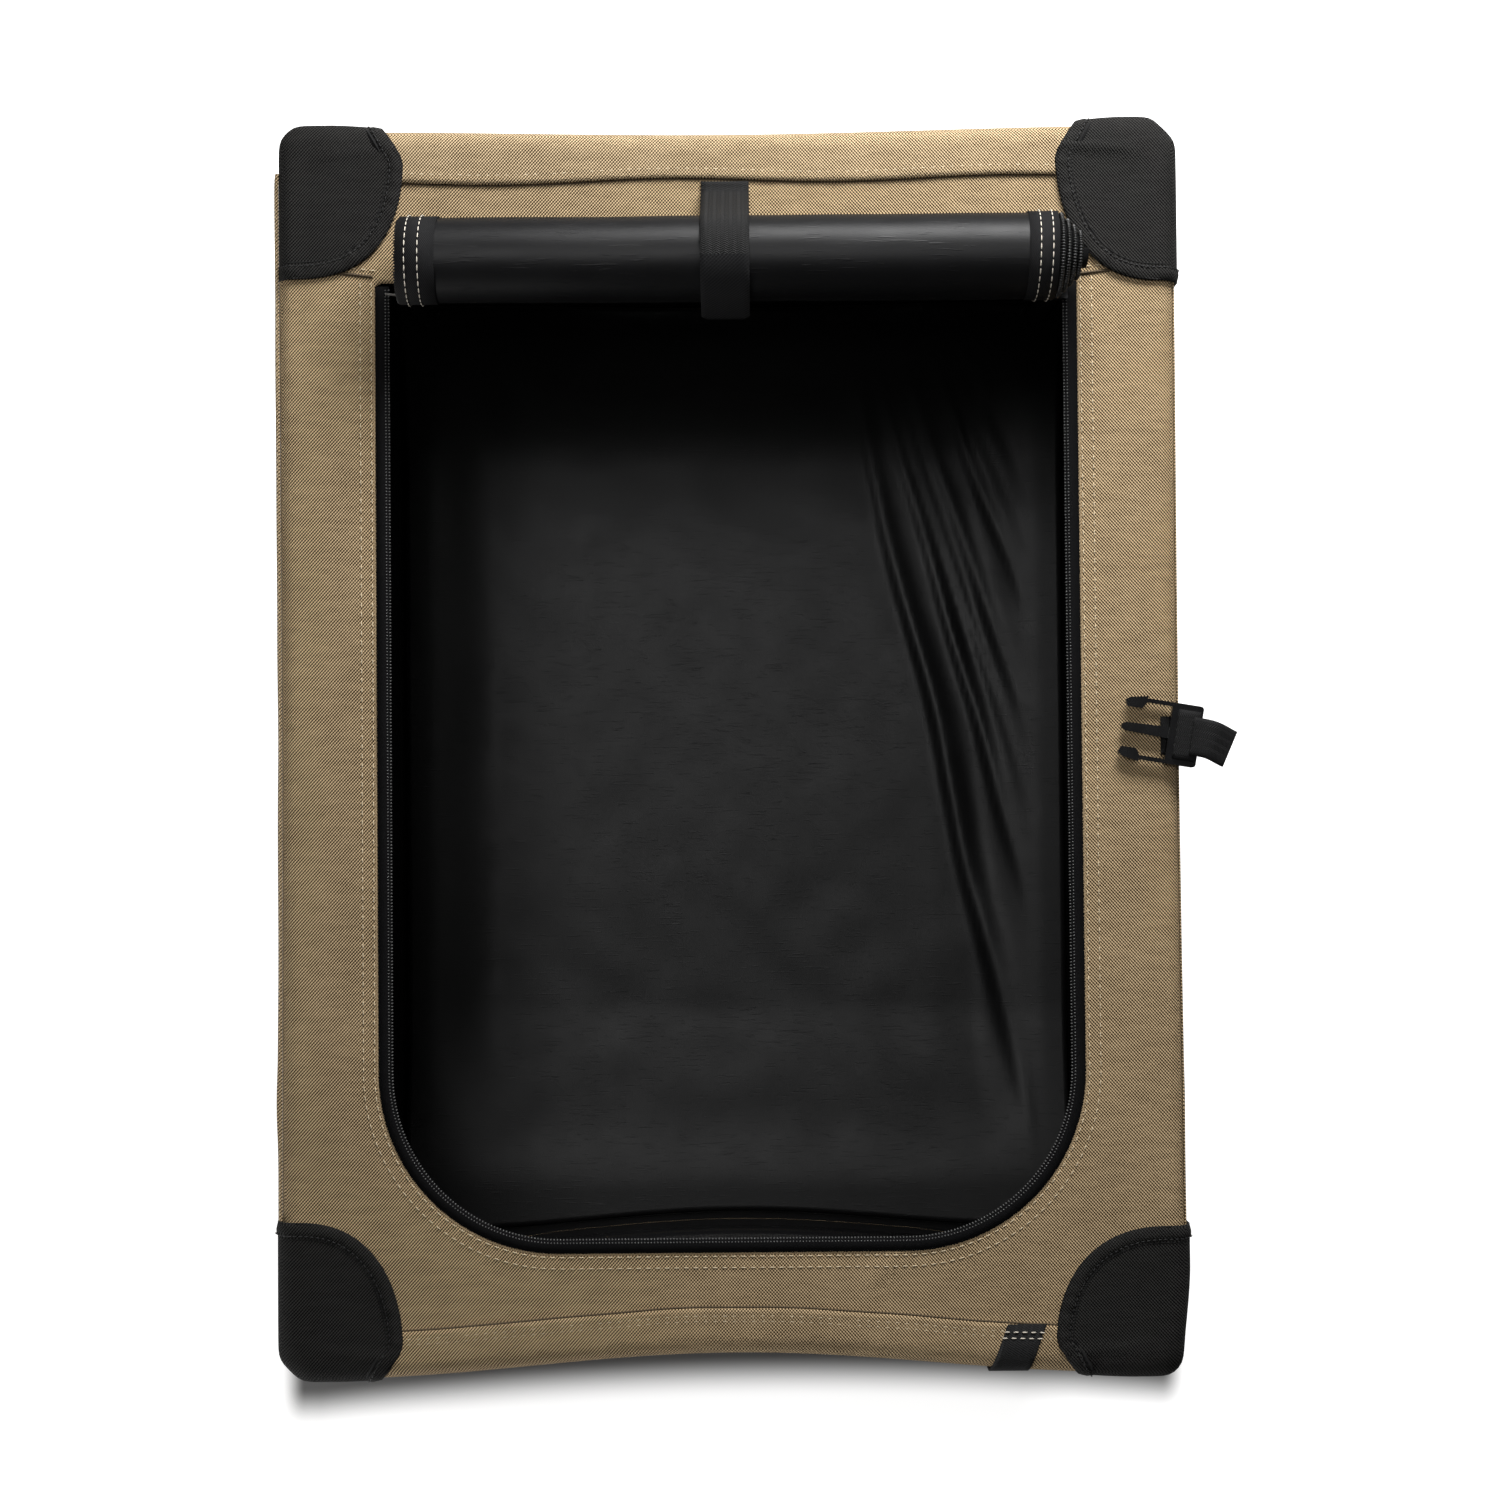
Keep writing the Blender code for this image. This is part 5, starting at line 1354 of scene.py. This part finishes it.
# %% [markdown]
# ## Walls and windows
# Each wall is a sheet round the rim with a rounded window cut out. The loft runs from the
# window's ring to the wall's outer edge, so the quads follow both. Black tape binds the
# window, and the net lies behind it. Inside, every wall is lined in black.


# %% Wall tools
def rounded_ring(half, low, high, radius, sides=(26, 8, 26)):
    """A rounded rectangle with the same number of points whatever its size."""
    points = []
    corners = ((half, high, 0), (-half, high, 1), (-half, low, 2), (half, low, 3))
    for x, z, n in corners:
        cx, cz = x - math.copysign(radius, x), z - radius if z == high else z + radius
        for i in range(sides[1] + 1):
            angle = math.pi / 2 * (n + i / sides[1])
            points.append((cx + radius * math.cos(angle), cz + radius * math.sin(angle)))
        nx, nz, _ = corners[(n + 1) % 4]
        ex = nx - math.copysign(radius, nx), nz - radius if nz == high else nz + radius
        angle = math.pi / 2 * (n + 1)
        goal = ex[0] + radius * math.cos(angle), ex[1] + radius * math.sin(angle)
        last = points[-1]
        count = sides[0] if n % 2 == 0 else sides[2]
        points += [tuple(a + (b - a) * i / count for a, b in zip(last, goal))
                   for i in range(1, count)]
    return points


def grown_ring(opening, by):
    """Round an opening of (half width, low, high, corner radius), set off all round."""
    half, low, high, radius = opening
    return rounded_ring(half + by, low - by, high + by, radius + by)


def wall_wave(u, z, low, high, seed):
    """Slack in the wall, none at its sewn edges."""
    fixed = math.sin(math.pi * min(max((z - low) / (high - low), 0), 1))
    slow, quick = ripple(u, z, 0, 0.09, seed), ripple(u, z, 0, 0.03, seed + 5)
    return fixed * (0.0009 * slow + 0.0006 * quick)


WALL_FINISH, BINDING_FINISH = (CLOTH, tan_cloth, lining), (0.0008, binding)
WALL_ROWS, DOOR_ROWS, BINDING_ROWS = 14, 8, 4


def ring_sheet(name, middle, outer, inner, rows, finish, inset=0.0, seed=None, crown=0.0):
    """A sheet between two rings of (run, z), laid on the crate's outline."""
    low, high = min(p[1] for p in outer), max(p[1] for p in outer)
    made, uvs = [], []
    for r in range(rows + 1):
        t = r / rows
        line = []
        for a, b in zip(outer, inner):
            u, z = a[0] + (b[0] - a[0]) * t, a[1] + (b[1] - a[1]) * t
            wave = wall_wave(u, z, low, high, seed) if seed is not None else 0.0
            line.append((*on_rim(middle + u, inset + wave - crown * math.sin(math.pi * t)), z))
            uvs.append((u, z))
        made.append(line)
    return thicken(loft(name, made, cyclic=True, uvs=uvs), *finish)


WALL_LOW, WALL_HIGH = BASE_SKIRT + GAP, HEIGHT - ROOF_SKIRT - GAP
WALL_TALL, WALL_CORNER = WALL_HIGH - WALL_LOW, 0.0005


def fold_down(*pieces):
    """Gives each piece its own copy of its mesh."""
    for piece in pieces:
        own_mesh(piece)


# %% [markdown]
# A window is a round-cornered hole with binding tape sewn round it. Its net is a plain
# sheet behind the cloth, a little larger than the hole.


# %% Windows and nets
NET_CLOTH, LAP_WIDE, LAP_HIGH = 0.0006, 0.004, 0.006


def net_size(opening):
    half, low, high, _ = opening
    return half + LAP_WIDE, low - LAP_HIGH, high + LAP_HIGH


def net_sheet(name, middle, opening):
    """The net hangs behind its wall's cloth, and laps past the hole on every side."""
    half, low, high = net_size(opening)
    across = [half * (i / 20 - 1) for i in range(41)]
    rows, uvs = [], []
    for j in range(15):
        z = low + (high - low) * j / 14
        inset = CLOTH + NET_CLOTH + 0.001 * math.sin(math.pi * j / 14)
        rows.append([(*on_rim(middle + u, inset), z) for u in across])
        uvs += [(u, z) for u in across]
    return thicken(loft(name, rows, uvs=uvs), NET_CLOTH, net)


def declare_net(mesh, opening, wall):
    half, low, high = net_size(opening)
    declare(mesh, 2 * half, high - low, "stretched", [wall])


def window(name, middle, opening, body):
    """Binding tape and its stitches round a window."""
    outer, inner = grown_ring(opening, 0.006), grown_ring(opening, -0.007)
    tape = ring_sheet(f"{name}_binding", middle, outer, inner, BINDING_ROWS, BINDING_FINISH,
                      -0.0009, crown=0.0004)
    sew_on(tape, body, "black_cloth")
    rows = []
    for grow in (0.0045, -0.0055):
        ring = grown_ring(opening, grow)
        rows.append([(*on_rim(middle + u, -0.0012), z) for u, z in ring + ring[:1]])
    return tape, stitches(f"{name}_stitches", rows, black_thread, body, "black_cloth", "window")


print(f"nets lap {LAP_WIDE} m past the sides and {LAP_HIGH} m past the top")


# %% Side and end walls
half_side = (run_at(WIDTH / 2, STRAIGHT_Y) - run_at(WIDTH / 2, -STRAIGHT_Y)) / 2 - GAP / 2
half_end = AROUND / 4 - half_side - GAP / 2
SIDE_WINDOW, REAR_WINDOW = (0.215, 0.110, 0.350, 0.040), (0.150, 0.110, 0.350, 0.040)
WALLS = (("left", "side_wall_left", RUN_LEFT, half_side, SIDE_WINDOW),
         ("right", "side_wall_right", RUN_RIGHT, half_side, SIDE_WINDOW),
         ("rear", "end_wall_rear", RUN_REAR, half_end, REAR_WINDOW))
for seed, (tag, node, middle, half, opening) in enumerate(WALLS, 1):
    edge = rounded_ring(half, WALL_LOW, WALL_HIGH, WALL_CORNER)
    hole = rounded_ring(*opening)
    wall = ring_sheet(f"wall_{tag}", middle, edge, hole, WALL_ROWS, WALL_FINISH, seed=seed)
    sew_on(wall, "base", "tan_cloth", node)
    tape, row = window(f"window_{tag}", middle, opening, "base")
    mesh = net_sheet(f"net_{tag}", middle, opening)
    sew_on(mesh, "base", "mesh", f"window_mesh_{tag}")
    declare(wall, 2 * half, WALL_TALL, "stretched", ["base_cover", roof], [tape, row])
    declare_net(mesh, opening, wall)
    fold_down(wall, tape, row, mesh)
print(f"walls: {2 * half_side:.3f} and {2 * half_end:.3f} m long")

# %% [markdown]
# ## The end door
# The front wall has a zipped door with its own window. It is hinged on its right edge, and
# its zip runs round the other three sides. The tape and the teeth end 2 cm from that edge,
# so that they meet nothing when the door is folded back on the wall.

# %% Front wall and end door
DOOR, DOOR_WINDOW = (0.165, 0.062, 0.392, 0.050), (0.127, 0.100, 0.354, 0.040)
DOOR_GAP, ZIP_BAND = 0.0008, 0.0005
edge = rounded_ring(half_end, WALL_LOW, WALL_HIGH, WALL_CORNER)
hole = rounded_ring(*DOOR)
front_wall = ring_sheet("wall_front", 0.0, edge, hole, DOOR_ROWS, WALL_FINISH)
sew_on(front_wall, "base", "tan_cloth", "end_wall_front")
edge, hole = grown_ring(DOOR, -DOOR_GAP), rounded_ring(*DOOR_WINDOW)
door = ring_sheet("end_door_cloth", 0.0, edge, hole, DOOR_ROWS, WALL_FINISH)
sew_on(door, "end_door", "tan_cloth", "end_door")
door_tape, door_row = window("end_door_window", 0.0, DOOR_WINDOW, "end_door")
door_net = net_sheet("end_door_net", 0.0, DOOR_WINDOW)
sew_on(door_net, "end_door", "mesh", "end_door_mesh")


def three_sides(grow, inset):
    """Round the door's top, left and bottom, from 2 cm off its hinged right edge."""
    return [(*on_rim(u, inset), z) for u, z in grown_ring(DOOR, grow)[5:-30]]


def zip_half(name, body, grows):
    """The tape of one half of the door's zip."""
    band = loft(name, [three_sides(grow, -0.0007) for grow in grows])
    return sew_on(thicken(band, ZIP_BAND, zip_tape), body, "zip_coil")


def coil_half(name, body, grow):
    return teeth(name, [three_sides(grow, -0.0011)], body, (0, -1, 0))


wall_band = zip_half("end_zip_tape", "base", (0.0115, 0.006, 0.0012))
door_band = zip_half("end_door_zip_tape", "end_door", (-0.0012, -0.006, -0.0105))
wall_zip = wall_band, coil_half("end_zip_teeth", "base", 0.0011)
door_zip = door_band, coil_half("end_door_zip_teeth", "end_door", -0.0011)
declare(front_wall, 2 * half_end, WALL_TALL, "stretched", ["base_cover", roof], [*wall_zip])
declare(door, 2 * DOOR[0], DOOR[2] - DOOR[1], "stretched", [front_wall],
        [door_tape, door_row, *door_zip])
declare_net(door_net, DOOR_WINDOW, door)
fold_down(front_wall, *wall_zip, door, door_tape, door_row, door_net, *door_zip)
print("end door ready")

# %% [markdown]
# ## Base cover and lining
# The base is a black tray. Inside it the lining covers the board, the rim and the
# crossbars. It is slack at the right, where long folds fan out towards the front.


# %% Base cover
def make_base():
    rows = [rim_ring(0.0, BASE_SKIRT + (EDGE - BASE_SKIRT) * i / 4) for i in range(5)]
    for angle in quarter_turn(8, 1):
        rows.append(rim_ring(EDGE * (1 - math.cos(angle)), EDGE * (1 - math.sin(angle))))
    tray = loft("base_cloth", rows[::-1], cyclic=True, cap=True)
    return thicken(tray, CLOTH, black_cloth, lining)


base_cloth = sew_on(make_base(), "base", "black_cloth", "base_cover")
declare(base_cloth, WIDTH + 2 * BASE_SKIRT, LENGTH + 2 * BASE_SKIRT, "stretched",
        ["base_frame_tube_front", "base_frame_tube_rear"])
print("base cover:", len(base_cloth.data.polygons), "faces")


# %% Floor lining
FAN, FOLD_HIGH = Vector((-0.008, 0.680)), 0.0054
# Each fold's direction in degrees from the rear, its share of the height, and its width.
FOLDS = ((13.1, 1.0, 0.8), (15.6, 0.8, 0.55), (18.4, 0.7, 0.6), (21.0, 1.0, 0.6),
         (24.4, 0.9, 0.7), (17.0, 0.4, 0.3), (22.6, 0.5, 0.35))
BOARD_TOP, SIDE_RISE, END_RISE = 0.0066, 0.0112, 0.0275
LINING_HALF, LINING_GAP, LINING_CLOTH, LINING_FLAT = 0.2345, 0.0012, 0.0008, (0.475, 0.66)


def fold_height(x, y):
    """Long folds that fan out from far behind the rear edge."""
    away = Vector((x, y)) - FAN
    angle = math.degrees(math.atan2(away.x, -away.y))
    near = min(max((away.length - 0.40) / 0.22, 0), 1)
    total = 0.0
    for ridge, height, width in FOLDS:
        across = (angle - ridge + 0.35 * ripple(away.length, ridge, 0, 0.12, 1.0)) / width
        across *= 1.7 if across < 0 else 0.75
        total += height * math.exp(-across * across * 1.6)
    edge = min(max((0.212 - abs(x)) / 0.035, 0), 1) * min(max((0.298 - abs(y)) / 0.04, 0), 1)
    slow = 0.0012 * ripple(x, y, 0, 0.09, 2.0) + 0.0007 * ripple(x, y, 0, 0.035, 6.0)
    return (FOLD_HIGH * total * near + slow) * edge


def lining_height(x, y):
    """Flat on the board, up over the rim at the sides and over the crossbars at the ends."""
    side_rise = SIDE_RISE * smooth_step(abs(x), 0.168, 0.2195)
    end_in, end_out = (0.170, 0.3015) if y < 0 else (0.205, 0.310)
    end_rise = END_RISE * smooth_step(abs(y), end_in, end_out)
    end_low = 0.0108 * smooth_step(abs(y), 0.304, 0.311)
    return BOARD_TOP + max(end_rise, end_low) + side_rise * (1 - end_rise / END_RISE)


def lining_reach(x, end):
    """How far the lining runs to an end: the outline, less the cover and a little play."""
    if abs(x) <= STRAIGHT_X:
        bowed = BOW[end] * bow(min(abs(x) / STRAIGHT_X, 1))
        return LENGTH / 2 - CLOTH - LINING_GAP - bowed
    round_corner = (CORNER - CLOTH - LINING_GAP) ** 2 - (abs(x) - STRAIGHT_X) ** 2
    return STRAIGHT_Y + math.sqrt(max(round_corner, 0))


def make_lining():
    rows, uvs = [], []
    for j in range(201):
        share = 2 * j / 200 - 1
        row = []
        for i in range(141):
            x = LINING_HALF * (2 * i / 140 - 1)
            y = lining_reach(x, REAR if share > 0 else FRONT) * share
            row.append((x, y, lining_height(x, y) + max(fold_height(x, y), -0.001)))
            uvs.append((x, y))
        rows.append(row)
    return thicken(loft("floor_lining", rows, uvs=uvs), LINING_CLOTH, lining)


floor_lining = sew_on(make_lining(), "base", "lining", "floor_liner")
declare(floor_lining, *LINING_FLAT, "laid", ["floor_board"])
print("lining:", len(floor_lining.data.polygons), "faces")

# %% [markdown]
# ## Steel frame
# The packed tubes have twelve sides, which show inside the crate, so finer tubes on the
# same centre lines stand for them. A curve with a round bevel is the plainest tube.


# %% Tubes
BEND, KNEE_PLAY = 0.022, 0.011


def tube(name, points, radius, body, node):
    line = line_object(name, [points])
    line.data.bevel_depth = radius
    line.data.bevel_resolution = 6
    line.data.use_fill_caps = True
    mesh = mesh_from(line)
    bm = bmesh.new()
    bm.from_mesh(mesh)
    bmesh.ops.remove_doubles(bm, verts=bm.verts, dist=0.000001)
    bmesh.ops.recalc_face_normals(bm, faces=bm.faces)
    bm.to_mesh(mesh)
    bm.free()
    mesh.set_sharp_from_angle(angle=math.radians(50))
    mesh.materials.clear()
    mesh.materials.append(steel)
    return sew_on(mesh_object(name, mesh), body, "frame_steel", node)


def leg_points(end, upper):
    flip = -1 if upper else 1
    y = end * (LENGTH / 2 - BOW[end] - CLOTH - 0.001 - LEG)
    corner = Vector((LEG_X, y, KNEE - flip * (KNEE - BASE_PIVOT)))
    tip = Vector((LEG_X, y - end * KNEE_OFFSET, KNEE))
    leg = (tip - corner).normalized()
    tip -= leg * (KNEE_PLAY / abs(leg.z))
    bar = Vector((-1, 0, 0))
    middle = corner + BEND * (leg + bar)
    half = [tip]
    for angle in quarter_turn(12):
        half.append(middle - BEND * (math.cos(angle) * bar + math.sin(angle) * leg))
    return half + [Vector((-p.x, p.y, p.z)) for p in reversed(half)]


for level, z, body in (("base", EDGE, "base"), ("top", HEIGHT - EDGE, "top")):
    for end, tag in ((FRONT, "front"), (REAR, "rear")):
        half = quarter_outline(EDGE, end)
        line = [(x, y, z) for x, y in half + [(-x, y) for x, y in reversed(half[:-1])]]
        line[0], line[-1] = (line[0][0], end * GAP / 2, z), (line[-1][0], end * GAP / 2, z)
        tube(f"{level}_rim_{tag}", line, TUBE, body, f"{level}_frame_tube_{tag}")
for end, tag in ((FRONT, "front"), (REAR, "rear")):
    for upper, part in ((False, "lower"), (True, "upper")):
        which = f"{tag}_{part}"
        tube(f"{which}_legs_tube", leg_points(end, upper), LEG, f"{which}_legs",
             f"{which}_leg_frame")
print("tubes: 8")

# %% [markdown]
# ## Buckle webbing and front tab
# The moulded halves of the buckle come from the frame. Their webbing is lofted as plain
# bands: one over the roof's edge, one wrapped through the buckle, and a tail that twists.


# %% Buckle webbing
WEB_CLOTH = 0.0013


def web_ribbon(name, path, body, *nodes, width=WEB, turn=(0, 1, 0)):
    """A band along a path of 3D points, its width along one direction or one for each."""
    turns = turn if isinstance(turn, list) else [turn] * len(path)
    rows, uvs, run = [], [], 0.0
    for n, point in enumerate(path):
        if n:
            run += (Vector(point) - Vector(path[n - 1])).length
        across = Vector(turns[n]) * width
        rows.append([tuple(Vector(point) + across * (i / 8 - 0.5)) for i in range(9)])
        uvs += [(run, width * i / 8) for i in range(9)]
    band = thicken(loft(name, rows, uvs=uvs), WEB_CLOTH, webbing, offset=0.0)
    return sew_on(band, body, "webbing", *nodes)


BUCKLE_Y = 0.0045
edge_x = on_rim(run_at(WIDTH / 2, BUCKLE_Y))[0]
radius = EDGE + GAP + WEB_CLOTH / 2
upright = edge_x + GAP + WEB_CLOTH / 2
band_path = [(upright, BUCKLE_Y, HEIGHT - 0.012 + 0.003 * i / 3) for i in range(3)]
for angle in quarter_turn(8):
    band_path.append((edge_x - EDGE + radius * math.cos(angle), BUCKLE_Y,
                      HEIGHT - EDGE + radius * math.sin(angle)))
band_path.append((edge_x - EDGE - 0.0013, BUCKLE_Y, HEIGHT - EDGE + radius))
web_ribbon("buckle_band", band_path, "buckle_male", "buckle_webbing")

# The webbing goes up through the buckle's body and over its bars, and its free end twists
# away. The wrap is given as places ahead of the buckle's middle and above it.
BUCKLE_TURN, WRAP_WIDE = math.radians(-9.5), 0.0262
WRAP = ((-0.0046, -0.0012), (-0.0044, 0.0014), (-0.0034, 0.0027), (-0.0010, 0.0030),
        (0.0020, 0.0030), (0.0068, 0.0031))
TAIL_STEPS, TAIL_STEP = 18, 0.00125
buckle_middle = Vector((edge_x + 0.00125, BUCKLE_Y, HEIGHT + 0.0040))
heading = Vector((math.cos(BUCKLE_TURN), math.sin(BUCKLE_TURN), 0))
wrap_path = [buckle_middle + heading * x + Vector((0, 0, z)) for x, z in WRAP]
web_ribbon("buckle_wrap", wrap_path, "buckle_male", width=WRAP_WIDE,
           turn=(-heading.y, heading.x, 0))

place, tail_path, tail_turns = buckle_middle + heading * 0.0036 + Vector((0, 0, 0.0042)), [], []
for i in range(TAIL_STEPS + 1):
    share = i / TAIL_STEPS
    angle = BUCKLE_TURN - math.radians(15) * smooth_step(share, 0.1, 0.7)
    droop = 0.0120 * max(share - 0.25, 0) ** 1.5
    tail_path.append(place - Vector((0, 0, droop + 0.0006 * math.sin(share * 9))))
    tail_turns.append((-math.sin(angle), math.cos(angle), -0.12 * share))
    place = place + Vector((math.cos(angle), math.sin(angle), 0)) * TAIL_STEP
web_ribbon("buckle_tail_band", tail_path, "buckle_male", "buckle_tail", turn=tail_turns)
print("buckle webbing:", len(band_path), len(wrap_path), len(tail_path), "places")

# %% [markdown]
# The tab is a short band that slants over the front edge. Two rows of stitches hold it.

# %% Front tab
TAB_X, TAB_Y, TAB_SLANT, TAB_HALF = 0.1537, 0.304, 0.37, 0.0092


def tab_middle(y):
    return TAB_X + (TAB_Y - y) * TAB_SLANT


def tab_path(steps=12):
    """Over the front edge and down, a little slanted."""
    edge = LENGTH / 2 - FRONT_BOW * bow(TAB_X / STRAIGHT_X)
    radius = EDGE + 0.0012 + WEB_CLOTH / 2
    path = [(TAB_Y, HEIGHT + GAP + 0.0014)]
    for i in range(steps + 1):
        angle = math.pi / 2 * (1 - i / steps)
        path.append((edge - EDGE + radius * math.cos(angle),
                     HEIGHT - EDGE + 0.0006 + radius * math.sin(angle)))
    path.append((path[-1][0], HEIGHT - EDGE - 0.0115))
    return [(tab_middle(y), -y, z) for y, z in path]


def tab_row(y):
    x, z = tab_middle(y), HEIGHT + GAP + 0.0026
    return straight((x - TAB_HALF, -y, z), (x + TAB_HALF, -y - 0.0004, z), 0.002)


web_ribbon("tie_tab", tab_path(), "top", "front_tab", turn=(1, 0, 0))
stitches("tab_stitches", [tab_row(0.3078), tab_row(0.3110)], white_thread, "top", "webbing",
         "tab")
print("tab ready")

# %% Finishes of the frame's own nodes
NODE_FINISH = {"knee": nylon, "clip": nylon, "buckle_male": nylon, "buckle_female": nylon,
               "zip_slider": black_zinc, "zip_pull": bright_zinc, "floor_board": fibreboard,
               "buckle_tail": webbing, "female_webbing": webbing}
SOFT_EDGE = 0.0009
for name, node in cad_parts.items():
    for key, material in NODE_FINISH.items():
        if key in name and not node.hide_render:
            node.data.materials.clear()
            node.data.materials.append(material)
            if material is nylon:
                edge = node.modifiers.new("soft_edges", "BEVEL")
                edge.width, edge.segments = SOFT_EDGE, 3
print("finishes:", len(NODE_FINISH))

# %% [markdown]
# ## Finish
# The dressed crate's box is worked out and printed.

# %% The dressed crate's box
low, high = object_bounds()
print("visual box", [round(v, 4) for v in high - low])
